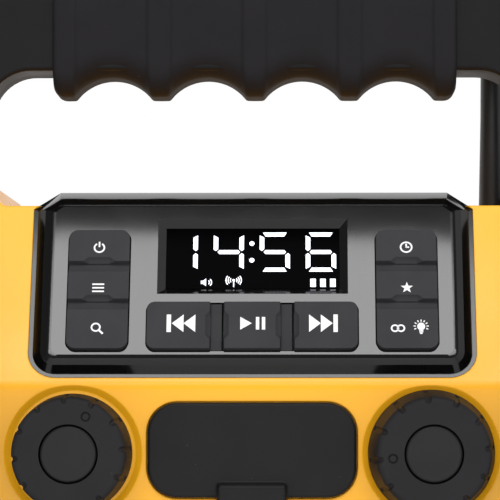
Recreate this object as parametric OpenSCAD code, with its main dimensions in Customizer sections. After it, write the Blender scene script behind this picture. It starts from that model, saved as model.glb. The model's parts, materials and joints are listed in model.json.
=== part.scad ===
// Jobsite radio: a moulded housing in two halves, carried in a roll cage of two side
// frames and a gripped handle, with a leaning control panel, two knobs, a covered socket
// bay, a loudspeaker behind a perforated grille and a battery bay at the back.
// Millimetres. X to the radio's left as it faces away, Y to the back, Z up.
// The origin is on the surface that the feet stand on, under the middle of the whole radio.

/* [Housing] */
// Width of the housing between the side frames
housing_w = 139; // [132:1:160]
// Depth of the housing, front to back
housing_d = 116; // [108:1:140]
// Height of the housing's bottom above the ground
housing_lift = 9; // [7:0.5:12]
// Height of the fold where the front starts to lean back
fold_z = 145.6; // [145:0.5:160]
// Lean of the control panel, back from the vertical
lean = 25; // [20:1:30]
// Height of the housing's flat top
top_z = 191.9; // [190:0.1:200]
// Wall thickness of the housing
wall = 2.6; // [2.2:0.1:3]
// Distance from the front to the joint between the two halves
split_d = 50; // [48:1:56]
// Rise of the shoulders beside the handle above the flat top
shoulder_rise = 6; // [4:0.5:8]
// Width of each shoulder where it leaves the flat top
shoulder_w = 4.5; // [4:0.1:5]

/* [Control panel] */
// Width of the control bezel
bezel_w = 112.6; // [110:0.2:114]
// Height of the control bezel, along the slope
bezel_h = 53; // [52:0.2:56]
// Distance up the slope from the fold to the bezel
bezel_up = 2.2; // [1.8:0.1:2.6]
// Radius of the bezel's lower corners
bezel_corner = 7; // [5:0.5:9]
// Height of the cut across the bezel's upper corners
bezel_chamfer = 5.1; // [3.1:0.1:6]
// Width of the flat lip around the bezel
lip_w = 1.2; // [0.8:0.1:2]
// Width of the bevel inside the lip
bevel_w = 4.7; // [3:0.1:5]
// Height of the panel face above the lip
bevel_rise = 3; // [2.4:0.1:3.4]
// Depth of the bezel's seat in the housing
seat_depth = 2.5; // [2:0.1:3]
// Thickness of the panel face
face_t = 2.2; // [1.8:0.1:2.4]

/* [Display] */
// Width of the display recess at the panel face
display_w = 48.2; // [44:0.2:50]
// Height of the display recess at the panel face
display_h = 21.5; // [20:0.1:21.8]
// Distance up the bezel to the display recess
display_up = 22; // [21.7:0.1:23.3]
// Depth of the display recess
display_depth = 1.5; // [1:0.1:1.8]
// Slope of the recess walls, measured in the face
display_draft = 2.1; // [1.4:0.1:2.4]

/* [Keys] */
// Width of the keys in the two side stacks
stack_key_w = 15.4; // [14:0.1:16]
// Height of the lowest key in each stack
low_key_h = 12.4; // [12:0.1:12.6]
// Height of the middle key in each stack
middle_key_h = 10.7; // [10.5:0.1:10.9]
// Height of the top key in each stack
top_key_h = 10.3; // [10.2:0.1:10.6]
// Distance from the middle to the middle of each stack
stack_x = 38.9; // [38:0.1:40]
// Distance between neighbouring keys in the transport row
row_pitch = 17.65; // [17:0.05:18]
// Height of the keys in the transport row
row_key_h = 13; // [12:0.1:13.4]
// Distance up the bezel to the lowest keys
keys_up = 6.2; // [6:0.1:6.4]
// Height of the key tops above the panel face
key_proud = 1.2; // [1:0.1:2]
// Depth of the groove between neighbouring keys
key_groove = 1.5; // [1.3:0.1:1.7]
// Width of the grooves in the two side stacks
stack_groove_w = 2.9; // [2.6:0.1:3.2]
// Width of the grooves in the transport row
row_groove_w = 3.7; // [3.4:0.1:4]
// Reach of the finger hollows beyond the grooves
hollow_reach = 1.1; // [0.9:0.1:1.2]
// Travel of each key
key_travel = 1; // [0.6:0.1:1.2]
// Clearance around each key
key_gap = 0.3; // [0.2:0.05:0.4]

/* [Knobs] */
// Distance from the middle to each knob
knob_x = 44.7; // [44.5:0.1:46]
// Height of the knobs' axes
knob_z = 128.8; // [128:0.1:129.5]
// Radius of the volume knob at its base
volume_base_r = 14.9; // [14.5:0.1:15.8]
// Radius of the tuning knob at its base
tuning_base_r = 15.9; // [14.5:0.1:16]
// Radius of both knobs at the front rim
knob_rim_r = 14; // [13:0.1:14.2]
// Reach of the knobs in front of the housing
knob_reach = 17; // [15:0.5:20]
// Radius of the cap in the middle of each knob
cap_r = 7; // [6.5:0.1:7.5]
// Number of grip notches in each knob
knob_notches = 12; // [8:1:16]
// Radius of the encoder shafts
shaft_r = 3; // [2.5:0.1:3.2]
// Running clearance of the encoder shafts
shaft_fit = 0.04; // [0.02:0.01:0.08]
// Radius of the dish around each knob
dish_r = 17.25; // [17:0.05:17.6]
// Depth of the dish around each knob
dish_depth = 1; // [0.6:0.1:1.2]

/* [Socket bay] */
// Width of the rubber socket cover
cover_w = 52.1; // [50:0.1:52.6]
// Height of the rubber socket cover
cover_h = 23.6; // [23:0.1:24]
// Height of the cover's middle
cover_z = 129.55; // [129.3:0.05:129.7]
// Corner radius of the cover
cover_corner = 7.5; // [5:0.5:9]
// Reach of the cover in front of the housing
cover_proud = 1.25; // [1:0.05:1.6]
// Thickness of the cover
cover_t = 3; // [2.6:0.1:3.4]
// Width of the cover's hinge knuckle
knuckle_w = 17; // [14:0.5:20]
// Radius of the cover's hinge knuckle
knuckle_r = 4.6; // [4.2:0.1:4.8]
// Depth of the socket bay behind its sill
bay_depth = 10; // [8:0.5:12]

/* [Speaker] */
// Height of the loudspeaker's axis
speaker_z = 61; // [60:0.5:62]
// Radius of the loudspeaker's flange
speaker_r = 46; // [44:0.5:46.5]
// Radius of the opening in front of the cone
cone_r = 40; // [38:0.5:40.5]
// Depth of the loudspeaker behind its flange
speaker_d = 41; // [38:0.5:44]
// Radius of the magnet
magnet_r = 27.5; // [24:0.5:30]
// Width of the grille
grille_w = 116; // [110:1:120]
// Height of the grille
grille_h = 86; // [80:1:88]
// Corner radius of the grille
grille_corner = 16; // [10:1:20]
// Radius of the holes in the grille
grille_hole_r = 2.3; // [1.8:0.1:2.6]
// Distance between neighbouring holes in the grille
grille_pitch = 7.2; // [6.4:0.1:9]

/* [Cage and handle] */
// Thickness of each side frame
frame_w = 20; // [18:0.5:24]
// Reach of the side frames in front of the housing
frame_front = 14; // [10:0.5:18]
// Reach of the side frames behind the housing
frame_back = 6; // [4:0.5:10]
// Height of the side frames' bottom above the ground
frame_lift = 5; // [4:0.5:6]
// Distance from the front of the housing to the handle's middle
handle_d = 55; // [50:1:62]
// Height of the handle bar's underside
bar_low_z = 229.2; // [225:0.1:240]
// Height of the handle bar's top
bar_top_z = 254; // [250:0.1:265]
// Depth of the handle bar
bar_d = 22; // [20:0.5:24]
// Outer corner radius of the handle
handle_outer_r = 25; // [20:1:30]
// Inner corner radius of the handle
handle_inner_r = 11.5; // [8:0.5:16]
// Length of the rubber grip
grip_len = 106.8; // [100:0.2:110]
// Thickness of the grip below the bar at its lands
grip_under = 6.7; // [6.2:0.1:8]
// Thickness of the grip over the bar
grip_over = 2; // [1.5:0.1:3]
// Number of finger scallops
finger_count = 4; // [3:1:4]
// Distance between neighbouring finger scallops
finger_pitch = 25.2; // [24:0.1:26]
// Radius of each finger scallop
finger_r = 12.7; // [11:0.1:14]
// Depth of each finger scallop
finger_depth = 5.2; // [4:0.1:5.4]
// Width of the raised land between two finger scallops
grip_land_w = 5.2; // [4:0.1:6]
// Depth of the fields between the lands
grip_field_depth = 0.5; // [0.4:0.1:1.2]

/* [Antenna] */
// Distance from the front of the housing to the antenna
antenna_d = 85; // [82:1:92]
// Length of the antenna whip above its collar
whip_len = 134; // [100:2:160]
// Radius of the whip at its foot
whip_r = 3.9; // [3.6:0.1:4.2]
// Radius of the whip at its tip
whip_tip_r = 2.6; // [2.4:0.1:3]

/* [Battery bay] */
// Radius of each cell
cell_r = 13.1; // [12.8:0.1:13.3]
// Length of each cell
cell_len = 50; // [49:0.5:50.5]
// Distance between the two rows of cells
row_gap = 28; // [27.4:0.1:29]
// Height of the door's hinge
door_hinge_z = 21.5; // [21:0.1:22.5]
// Width of the battery door
door_w = 112; // [111:0.5:114]
// Thickness of the battery door
door_t = 2.4; // [2.2:0.1:2.6]
// Travel of the door's latch
latch_travel = 3.2; // [2.8:0.1:3.6]

/* [Feet] */
// Radius of each rubber foot
foot_r = 7; // [5:0.5:8]

/* [Hidden] */
$fn = 64;

eps = 0.01;
gap = 0.3;
past = 5;
overall_d = max(knob_reach, frame_front) + housing_d + frame_back;
front_y = max(knob_reach, frame_front) - overall_d / 2;
back_y = front_y + housing_d;
split_y = front_y + split_d;
side_x = housing_w / 2;
cage_x = side_x + frame_w;
antenna_x = side_x - whip_r - gap;
handle_y = front_y + handle_d;
shoulder_z = top_z + shoulder_rise;
inner_x = side_x - wall;
inner_front_y = front_y + wall;
inner_back_y = back_y - wall;

// Housing outline from the side: points of the profile, moved in by a wall
lean_run = tan(lean);
profile_radii = [8, 10, 10, 4, 6];
function profile(inset, top) = [
    [front_y + inset, housing_lift + inset],
    [back_y - inset, housing_lift + inset],
    [back_y - inset, top - inset],
    [front_y + (top - fold_z) * lean_run + inset * tan((90 - lean) / 2), top - inset],
    [front_y + inset, fold_z - inset * tan(lean / 2)]];

// Panel stack, measured outward from the leaning front
face_n = bevel_rise;
face_back_n = face_n - face_t;
key_top_n = face_n + key_proud;
flange_top_n = face_back_n - gap;
flange_n = flange_top_n - 1;
lens_top_n = face_n - display_depth;
lens_flange_t = 1.4;
module_n = face_back_n - lens_flange_t;
module_t = 5.6;
board_n = module_n - module_t;
board_t = 1.6;
switch_n = 3.2;
switch_r = 1.9;
stem_r = 1.6;
stem_n = board_n + switch_n - key_travel * 0.3;
ledge_n = -seat_depth - wall;
bezel_inner_w = bezel_w - 2 * (lip_w + bevel_w);
stack_h = low_key_h + middle_key_h + top_key_h;
row_w = 3 * row_pitch;
pocket_w = 2 * (stack_x + stack_key_w / 2) + 6;
pocket_low = keys_up - 2.4;
pocket_high = bezel_h - lip_w - bevel_w + 0.6;
window_low = pocket_low + 1;
window_high = pocket_high - 2;
board_w = 2 * (stack_x + stack_key_w / 2) + 18;
board_low = 2;
board_high = bezel_h - 6.2;
post_x = board_w / 2 - 3;
post_inset = 3;
post_r = 2.6;
board_screw_r = 1;
board_screw_grip = 2.4;

// Knobs and encoders
knob_front_y = front_y - knob_reach;
knob_base_y = front_y + dish_depth - 0.5;
dish_floor_y = front_y + dish_depth;
dish_slope = 1.6;
bush_r = shaft_r + 0.8;
nut_r = 6;
nut_t = 2.4;
encoder_w = 12;
encoder_d = 8;
shaft_back_y = inner_front_y + encoder_d - 2;
hub_y = knob_front_y + 5;
counterbore_r = 8;

// Socket bay
cover_front_y = front_y - cover_proud;
cover_back_y = cover_front_y + cover_t;
sill_y = cover_back_y + 0.25;
bay_w = cover_w - 6.1;
bay_h = cover_h - 6.2;
bay_wall = 1.6;
bay_back_y = sill_y + bay_depth;
knuckle_y = front_y + 0.8;
knuckle_z = cover_z - cover_h / 2 - 3.45;
tab_top_z = cover_z - cover_h / 2 + 3.55;
knuckle_clear = 1;
socket_pin_r = 1.1;
pin_fit = 0.05;

// Handle
grip_low_z = bar_low_z - grip_under;
grip_top_z = bar_top_z + grip_over;
grip_d = bar_d + 4;
grip_low_r = 7.5;
grip_top_r = 9;
scallop_ease = 2;
field_top_z = grip_top_z - grip_top_r;
tongue_w = 12;
tongue_d = 18;
tongue_len = 26;
tongue_screw_y = 5;
tongue_screw_z = shoulder_z - tongue_len / 2;
tongue_screw_r = 1.6;
tongue_head_r = 3.2;
tongue_head_h = 2.4;

// Battery bay
tray_wall = 1.6;
contact_room = 2.9;
tray_w = 2 * (cell_len + contact_room + tray_wall);
tray_low_z = door_hinge_z + 3.5;
cell_low_z = tray_low_z + tray_wall + cell_r + 0.4;
tray_high_z = cell_low_z + row_gap + cell_r + 0.4 + tray_wall;
tray_front_y = inner_back_y - 2 * cell_r - 1.4 - tray_wall;
cell_y = tray_front_y + tray_wall + cell_r + 0.3;
door_high_z = tray_high_z + 1.2;
barrel_r = 2.9;
door_hinge_y = back_y - barrel_r;
door_pin_r = 1.2;
trough_r = barrel_r + gap;
post_h = 8;
tray_post_r = 2.6;
tray_post_x = tray_w / 2 - 10.5;

// Rounded shapes made only from straight edges and true arcs
function unit(v) = v / norm(v);
function turn(p, v, n) = (v[0] - p[0]) * (n[1] - v[1]) - (v[1] - p[1]) * (n[0] - v[0]);

// The sliver between a corner and the arc that rounds it
module corner_sliver(p, v, n, r) {
    a = unit(p - v);
    b = unit(n - v);
    half = acos(a * b) / 2;
    middle = unit(a + b);
    difference() {
        polygon([v + a * r / tan(half), v - middle * r / 4, v + b * r / tan(half),
            v + middle * r / sin(half)]);
        translate(v + middle * r / sin(half))
            circle(r);
    }
}

// A polygon with each corner rounded by its own radius, given counter-clockwise
module soft_polygon(points, radii) {
    last = len(points) - 1;
    difference() {
        union() {
            polygon(points);
            for (i = [0:last])
                if (radii[i] > 0 && turn(points[i == 0 ? last : i - 1], points[i],
                        points[i == last ? 0 : i + 1]) < 0)
                    corner_sliver(points[i == 0 ? last : i - 1], points[i],
                        points[i == last ? 0 : i + 1], radii[i]);
        }
        for (i = [0:last])
            if (radii[i] > 0 && turn(points[i == 0 ? last : i - 1], points[i],
                    points[i == last ? 0 : i + 1]) > 0)
                corner_sliver(points[i == 0 ? last : i - 1], points[i],
                    points[i == last ? 0 : i + 1], radii[i]);
    }
}

// A rounded rectangle centred on the origin
module rounded(w, h, r) {
    soft_polygon([[-w / 2, -h / 2], [w / 2, -h / 2], [w / 2, h / 2], [-w / 2, h / 2]],
        [r, r, r, r]);
}

// A front view, drawn in X and Z, given depth from y0 back to y1
module deep(y0, y1) {
    translate([0, y1, 0])
        rotate([90, 0, 0])
            linear_extrude(y1 - y0)
                children();
}

// A side view, drawn in Y and Z, given width from x0 to x1
module wide(x0, x1) {
    translate([x0, 0, 0])
        rotate([90, 0, 90])
            linear_extrude(x1 - x0)
                children();
}

// A plan, drawn in X and Y, given height from z0 up to z1
module tall(z0, z1) {
    translate([0, 0, z0])
        linear_extrude(z1 - z0)
            children();
}

// Panel coordinates: X across, Y up the slope from the bezel's foot, Z outward
module on_panel() {
    translate([0, front_y, fold_z])
        rotate([90 - lean, 0, 0])
            translate([0, bezel_up, 0])
                children();
}

// A panel outline raised from n0 to n1 above the leaning front
module raised(n0, n1) {
    translate([0, 0, n0])
        linear_extrude(n1 - n0)
            children();
}

// A rod along Y at x, z
module rod_y(x, z, r, y0, y1) {
    translate([x, y1, z])
        rotate([90, 0, 0])
            cylinder(r = r, h = y1 - y0);
}

// A rod along X at y, z
module rod_x(y, z, r, x0, x1) {
    translate([x0, y, z])
        rotate([0, 90, 0])
            cylinder(r = r, h = x1 - x0);
}

module both_sides() {
    children();
    mirror([1, 0, 0])
        children();
}

// ---------------------------------------------------------------- housing

// Fixings that several pieces share
case_screw_x = side_x - 6.5;
case_screw_len = 16;
case_boss_len = 18;
case_screw_z = [housing_lift + 8, 98, top_z - 9.5];
case_screw_r = 1.9;
case_boss_r = 5;
case_head_r = 3.8;
case_head_h = 3;
frame_screw_r = 1.8;
frame_head_r = 3.4;
frame_head_h = 2.2;
frame_boss_r = 4.2;
frame_screw_at = [[front_y + 14, 24], [back_y - 12, 24], [front_y + 14, 118], [back_y - 12, 150]];

// Front view of the housing with its two shoulders
module housing_front_view() {
    rise_x = side_x - shoulder_w;
    crest_x = side_x - shoulder_w * 0.4;
    soft_polygon([[-side_x, 0], [side_x, 0], [side_x, shoulder_z], [crest_x, shoulder_z],
        [rise_x, top_z], [-rise_x, top_z], [-crest_x, shoulder_z], [-side_x, shoulder_z]],
        [0, 0, 0, 1, 3, 3, 1, 0]);
}

module housing_solid() {
    intersection() {
        wide(-side_x, side_x)
            soft_polygon(profile(0, shoulder_z), profile_radii);
        deep(front_y - past, back_y + past)
            housing_front_view();
    }
}

module housing_hollow() {
    wide(-inner_x, inner_x)
        soft_polygon(profile(wall, top_z), [5.4, 7.4, 7.4, 0, 6]);
}

// Bosses through which the side frames are screwed to the housing
module frame_bosses(y0, y1) {
    for (at = frame_screw_at)
        if (at[0] > y0 && at[0] < y1)
            both_sides()
                rod_x(at[0], at[1], frame_boss_r, inner_x - 6, inner_x + eps);
}

module frame_bores() {
    for (at = frame_screw_at)
        both_sides()
            rod_x(at[0], at[1], frame_screw_r, inner_x - 6, side_x + eps);
}

module case_bosses(y0, y1) {
    for (z = case_screw_z)
        both_sides()
            rod_y(case_screw_x, z, case_boss_r, y0, y1);
}

module grille_outline(grow) {
    translate([0, speaker_z])
        rounded(grille_w + 2 * grow, grille_h + 2 * grow, grille_corner + grow);
}

module cover_outline(grow) {
    translate([0, cover_z])
        rounded(cover_w + 2 * grow, cover_h + 2 * grow, cover_corner + grow);
}

module bay_outline(grow) {
    translate([0, cover_z])
        rounded(bay_w + 2 * grow, bay_h + 2 * grow, 4 + grow);
}

// Ledge behind the leaning front that the bezel and its board are fixed to
module panel_ledge() {
    on_panel()
        difference() {
            raised(ledge_n, -wall + eps)
                translate([-bezel_w / 2 - 3, -bezel_up + 1])
                    square([bezel_w + 6, bezel_h - 4.6]);
            raised(ledge_n - eps, 0)
                translate([-pocket_w / 2, window_low])
                    square([pocket_w, window_high - window_low]);
        }
    on_panel()
        for (x = [-post_x, post_x])
            for (up = [board_low + post_inset, board_high - post_inset])
                translate([x, up, board_n])
                    cylinder(r = post_r, h = ledge_n - board_n + eps);
}

module panel_cuts() {
    on_panel() {
        raised(-seat_depth, past * 2)
            bezel_outline(0);
        raised(ledge_n - wall, 0)
            translate([-pocket_w / 2, window_low])
                square([pocket_w, window_high - window_low]);
        for (x = [-post_x, post_x])
            for (up = [board_low + post_inset, board_high - post_inset])
                translate([x, up, board_n - eps])
                    cylinder(r = board_screw_r, h = board_screw_grip + eps);
    }
}

module knob_cuts() {
    both_sides() {
        translate([knob_x, front_y - past, knob_z])
            rotate([-90, 0, 0])
                cylinder(r1 = dish_r + past * dish_slope, r2 = dish_r - dish_depth * dish_slope,
                    h = past + dish_depth);
        rod_y(knob_x, knob_z, bush_r, front_y, inner_front_y + eps);
    }
}

module socket_cuts() {
    deep(front_y - eps, sill_y)
        cover_outline(0.35);
    deep(front_y, bay_back_y + bay_wall)
        bay_outline(bay_wall);
    rod_x(knuckle_y, knuckle_z, knuckle_r + knuckle_clear, -knuckle_w / 2 - gap, knuckle_w / 2 + gap);
    rod_x(knuckle_y, knuckle_z, socket_pin_r, -knuckle_w / 2 - 4, knuckle_w / 2 + 4);
}

module front_shell() {
    color("#F0A41C")
        difference() {
            union() {
                difference() {
                    housing_solid();
                    housing_hollow();
                }
                intersection() {
                    union() {
                        panel_ledge();
                        case_bosses(split_y - case_boss_len, split_y);
                        frame_bosses(front_y, split_y);
                        deep(inner_front_y - eps, sill_y + wall)
                            cover_outline(2.4);
                        rod_x(knuckle_y, knuckle_z, knuckle_r + knuckle_clear + bay_wall,
                            -knuckle_w / 2 - 6, knuckle_w / 2 + 6);
                    }
                    housing_solid();
                }
            }
            translate([-side_x - past, split_y, 0])
                cube([housing_w + 2 * past, housing_d, shoulder_z + past]);
            deep(split_y - seal_depth, split_y + eps)
                seal_ring();
            panel_cuts();
            knob_cuts();
            socket_cuts();
            frame_bores();
            for (z = case_screw_z)
                both_sides()
                    rod_y(case_screw_x, z, case_screw_r, split_y - case_screw_len, split_y + eps);
            deep(front_y - eps, front_y + grille_seat)
                grille_outline(0.2);
            rod_y(0, speaker_z, cone_r, front_y, inner_front_y + 1);
            for (a = [45:90:315])
                rod_y(speaker_screw_ring * cos(a), speaker_z + speaker_screw_ring * sin(a),
                    speaker_screw_r, inner_front_y - speaker_screw_bite, inner_front_y + eps);
            rod_y(0, speaker_z, speaker_r + 0.2, inner_front_y, inner_front_y + flange_t);
        }
}

// Seal between the two halves
seal_depth = 1.6;
seal_w = 1;
seal_inset = 0.8;
module seal_ring() {
    middle_z = (housing_lift + top_z) / 2;
    height = top_z - housing_lift - 2 * seal_inset;
    translate([0, middle_z])
        difference() {
            rounded(housing_w - 2 * seal_inset, height, 0.8);
            rounded(housing_w - 2 * seal_inset - 2 * seal_w, height - 2 * seal_w, 0.4);
        }
}

module case_seal() {
    color("#1E1E1E")
        deep(split_y - seal_depth, split_y)
            seal_ring();
}

module case_screws() {
    color("#8A8C8E")
        for (z = case_screw_z)
            both_sides()
                difference() {
                    union() {
                        rod_y(case_screw_x, z, case_screw_r, split_y - case_screw_len,
                            back_y - case_head_h);
                        rod_y(case_screw_x, z, case_head_r, back_y - case_head_h, back_y - 0.6);
                    }
                    for (turned = [0, 90])
                        translate([case_screw_x, back_y - 0.6, z])
                            rotate([0, turned, 0])
                                cube([4, 2, 0.9], center = true);
                }
}

module rear_shell() {
    color("#F0A41C")
        difference() {
            union() {
                difference() {
                    housing_solid();
                    housing_hollow();
                }
                intersection() {
                    union() {
                        case_bosses(split_y, back_y - 1);
                        frame_bosses(split_y, back_y);
                        rod_z(antenna_x, antenna_y, stud_r + wall, top_z - stud_len, top_z);
                        wide(-door_w / 2 - 4, door_w / 2 + 4)
                            translate([inner_back_y - 5, door_hinge_z - 5.5])
                                square([5 + eps, 8.6]);
                    }
                    housing_solid();
                }
            }
            translate([-side_x - past, split_y - housing_d, 0])
                cube([housing_w + 2 * past, housing_d, shoulder_z + past]);
            frame_bores();
            for (z = case_screw_z)
                both_sides() {
                    rod_y(case_screw_x, z, case_screw_r, split_y - eps, back_y - 1);
                    rod_y(case_screw_x, z, case_head_r, back_y - case_head_h, back_y + eps);
                }
            // Window for the battery door, with the trough of its hinge and the latch's keeper
            translate([-door_w / 2 - gap, inner_back_y, door_hinge_z])
                cube([door_w + 2 * gap, wall + past, door_high_z - door_hinge_z + gap]);
            rod_x(door_hinge_y, door_hinge_z, trough_r, -door_w / 2 - gap, door_w / 2 + gap);
            translate([-door_w / 2 - gap, door_hinge_y, door_hinge_z - trough_r])
                cube([door_w + 2 * gap, wall + past, trough_r]);
            translate([-tray_w / 2, inner_back_y - 5 - eps, tray_low_z])
                cube([tray_w, 5 + 2 * eps, past]);
            rod_x(door_hinge_y, door_hinge_z, door_pin_r, -door_w / 2 - 3, door_w / 2 + 3);
            translate([-latch_w / 2 - gap, latch_y - gap, door_high_z])
                cube([latch_w + 2 * gap, latch_t + 2 * gap, latch_throw + 0.9]);
            rod_z(antenna_x, antenna_y, stud_r, top_z - stud_len - eps, top_z + eps);
            // Flat seat beside the handle, where the antenna stands in a gap of the shoulder
            translate([side_x - shoulder_w - past, split_y - eps, top_z])
                cube([shoulder_w + 2 * past, antenna_y + antenna_seat - split_y, past + shoulder_rise]);
        }
}

// ---------------------------------------------------------------- cage and handle

module rod_z(x, y, r, z0, z1) {
    translate([x, y, z0])
        cylinder(r = r, h = z1 - z0);
}

frame_top_z = shoulder_z;
frame_recess = 3;
frame_rib_w = 4;
frame_front_y = front_y - frame_front;
frame_back_y = back_y + frame_back;
frame_points = [
    [frame_front_y, frame_lift],
    [frame_back_y, frame_lift],
    [frame_back_y, frame_top_z - 22],
    [back_y - 10, frame_top_z],
    [handle_y - 32, frame_top_z],
    [frame_front_y, fold_z - 8]];
foot_at = [front_y + 8, back_y - 14];
foot_peg_r = 3;
foot_peg_h = 5;

// One side frame, on the side of positive X
module side_frame() {
    difference() {
        wide(side_x, cage_x)
            soft_polygon(frame_points, [18, 18, 24, 14, 14, 30]);
        // Sunk field with upright ribs, in the outer face
        difference() {
            wide(cage_x - frame_recess, cage_x + eps)
                translate([(frame_front_y + frame_back_y) / 2, (frame_lift + fold_z) / 2 + 4])
                    rounded(frame_back_y - frame_front_y - 34, fold_z - frame_lift - 30, 12);
            for (i = [-2:2])
                translate([cage_x - frame_recess - eps,
                    (frame_front_y + frame_back_y) / 2 + i * 18 - frame_rib_w / 2, 0])
                    cube([frame_recess - 1, frame_rib_w, fold_z]);
        }
        translate([side_x + 4, handle_y - tongue_d / 2, frame_top_z - tongue_len])
            cube([tongue_w, tongue_d, tongue_len + eps]);
        for (y = [handle_y - tongue_screw_y, handle_y + tongue_screw_y]) {
            rod_x(y, tongue_screw_z, tongue_screw_r, side_x + 2, cage_x);
            rod_x(y, tongue_screw_z, tongue_head_r, cage_x - tongue_head_h, cage_x + eps);
        }
        for (at = frame_screw_at) {
            rod_x(at[0], at[1], frame_screw_r, side_x - eps, cage_x);
            rod_x(at[0], at[1], frame_head_r, frame_seat_x, cage_x + eps);
        }
        for (y = foot_at)
            rod_z(side_x + frame_w / 2, y, foot_peg_r, frame_lift - eps, frame_lift + foot_peg_h);
    }
}
frame_seat_x = cage_x - frame_recess - frame_head_h;

module left_side_frame() {
    color("#242326")
        mirror([1, 0, 0])
            side_frame();
}

module right_side_frame() {
    color("#242326")
        side_frame();
}

module frame_screws() {
    color("#8A8C8E")
        for (at = frame_screw_at)
            both_sides() {
                rod_x(at[0], at[1], frame_screw_r, inner_x - 5, frame_seat_x);
                rod_x(at[0], at[1], frame_head_r, frame_seat_x, frame_seat_x + frame_head_h);
            }
}

module feet() {
    color("#1C1C1E")
        both_sides()
            for (y = foot_at) {
                translate([side_x + frame_w / 2, y, 0])
                    cylinder(r1 = foot_r - 1, r2 = foot_r, h = frame_lift);
                rod_z(side_x + frame_w / 2, y, foot_peg_r, 0, frame_lift + foot_peg_h);
            }
}

// Handle seen from the front: a bar between two arms
arm_inset = 1.2;
module handle_front_view() {
    inner = side_x + arm_inset;
    soft_polygon([[inner, frame_top_z], [cage_x, frame_top_z], [cage_x, bar_top_z],
        [-cage_x, bar_top_z], [-cage_x, frame_top_z], [-inner, frame_top_z],
        [-inner, bar_low_z], [inner, bar_low_z]],
        [0, 0, handle_outer_r, handle_outer_r, 0, 0, handle_inner_r, handle_inner_r]);
}

module handle_bar() {
    color("#242326")
        difference() {
            union() {
                intersection() {
                    deep(handle_y - bar_d / 2, handle_y + bar_d / 2)
                        handle_front_view();
                    tall(frame_top_z - past, bar_top_z + past)
                        translate([0, handle_y])
                            rounded(2 * cage_x, bar_d, 7);
                    wide(-cage_x, cage_x)
                        translate([handle_y, (frame_top_z + bar_top_z) / 2 - 10])
                            rounded(bar_d, bar_top_z - frame_top_z + 20, 7);
                }
                both_sides()
                    translate([side_x + 4, handle_y - tongue_d / 2, frame_top_z - tongue_len])
                        cube([tongue_w, tongue_d, tongue_len + 1]);
            }
            both_sides()
                for (y = [handle_y - 5, handle_y + 5])
                    rod_x(y, frame_top_z - 13, 1.6, side_x + 3, cage_x);
        }
}

module handle_screws() {
    color("#8A8C8E")
        both_sides()
            for (y = [handle_y - tongue_screw_y, handle_y + tongue_screw_y]) {
                rod_x(y, tongue_screw_z, tongue_screw_r, side_x + 4, cage_x - tongue_head_h);
                rod_x(y, tongue_screw_z, tongue_head_r, cage_x - tongue_head_h, cage_x - 0.4);
            }
}

// Rubber grip with a scallop for each finger, a shallow field above each scallop and a raised
// land between them, slipped over the bar
finger_axis_z = grip_low_z + finger_depth - finger_r;
function finger_x(place) = (place - (finger_count - 1) / 2) * finger_pitch;

// Cutter for one scallop: a bore along Y that flares where it leaves the grip
module finger_cutter() {
    rotate([-90, 0, 0])
        rotate_extrude()
            soft_polygon([[0, -grip_d], [finger_r + scallop_ease, -grip_d],
                [finger_r + scallop_ease, -grip_d / 2], [finger_r, -grip_d / 2],
                [finger_r, grip_d / 2], [finger_r + scallop_ease, grip_d / 2],
                [finger_r + scallop_ease, grip_d], [0, grip_d]],
                [0, 0, 0, scallop_ease, scallop_ease, 0, 0, 0]);
}

module handle_grip() {
    color("#2B2A2D")
        difference() {
            intersection() {
                wide(-grip_len / 2, grip_len / 2)
                    translate([handle_y, (grip_low_z + grip_top_z) / 2])
                        soft_polygon([
                            [-grip_d / 2, grip_low_z / 2 - grip_top_z / 2],
                            [grip_d / 2, grip_low_z / 2 - grip_top_z / 2],
                            [grip_d / 2, grip_top_z / 2 - grip_low_z / 2],
                            [-grip_d / 2, grip_top_z / 2 - grip_low_z / 2]],
                            [grip_low_r, grip_low_r, grip_top_r, grip_top_r]);
                deep(handle_y - grip_d, handle_y + grip_d)
                    translate([0, (grip_low_z + grip_top_z) / 2])
                        rounded(grip_len, grip_top_z - grip_low_z, 2.8);
            }
            for (i = [0:finger_count - 1])
                translate([finger_x(i), handle_y, finger_axis_z])
                    finger_cutter();
            // Fields above the scallops, in the front and the back face
            for (i = [0:finger_count - 1])
                for (y = [handle_y - grip_d / 2, handle_y + grip_d / 2])
                    deep(y - grip_field_depth, y + grip_field_depth)
                        translate([finger_x(i), (field_top_z + grip_low_z - past) / 2])
                            rounded(finger_pitch - grip_land_w, field_top_z - grip_low_z + past, 0.5);
            wide(-grip_len, grip_len)
                intersection() {
                    translate([handle_y, (frame_top_z + bar_top_z) / 2 - 10])
                        rounded(bar_d, bar_top_z - frame_top_z + 20, 7);
                    translate([handle_y - bar_d, bar_low_z])
                        square([2 * bar_d, bar_top_z]);
                }
        }
}

// ---------------------------------------------------------------- control panel

// Bezel outline, moved in from its edge by a border
chamfer_lean = 1.22;
foot_share = 0.85;
module bezel_outline(border) {
    half = bezel_w / 2 - border;
    low = border * foot_share;
    high = bezel_h - border;
    chamfer = bezel_chamfer - border * (2 - sqrt(2));
    corner = max(bezel_corner - border, 2);
    soft_polygon([[-half, low], [half, low], [half, high - chamfer],
        [half - chamfer * chamfer_lean, high], [-half + chamfer * chamfer_lean, high],
        [-half, high - chamfer]], [corner, corner, 0, 0, 0, 0]);
}

module lens_outline(grow) {
    translate([0, display_up + display_h / 2])
        square([display_w - 2 * display_draft + 2 * grow, display_h - 2 * display_draft + 2 * grow],
            center = true);
}

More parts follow.
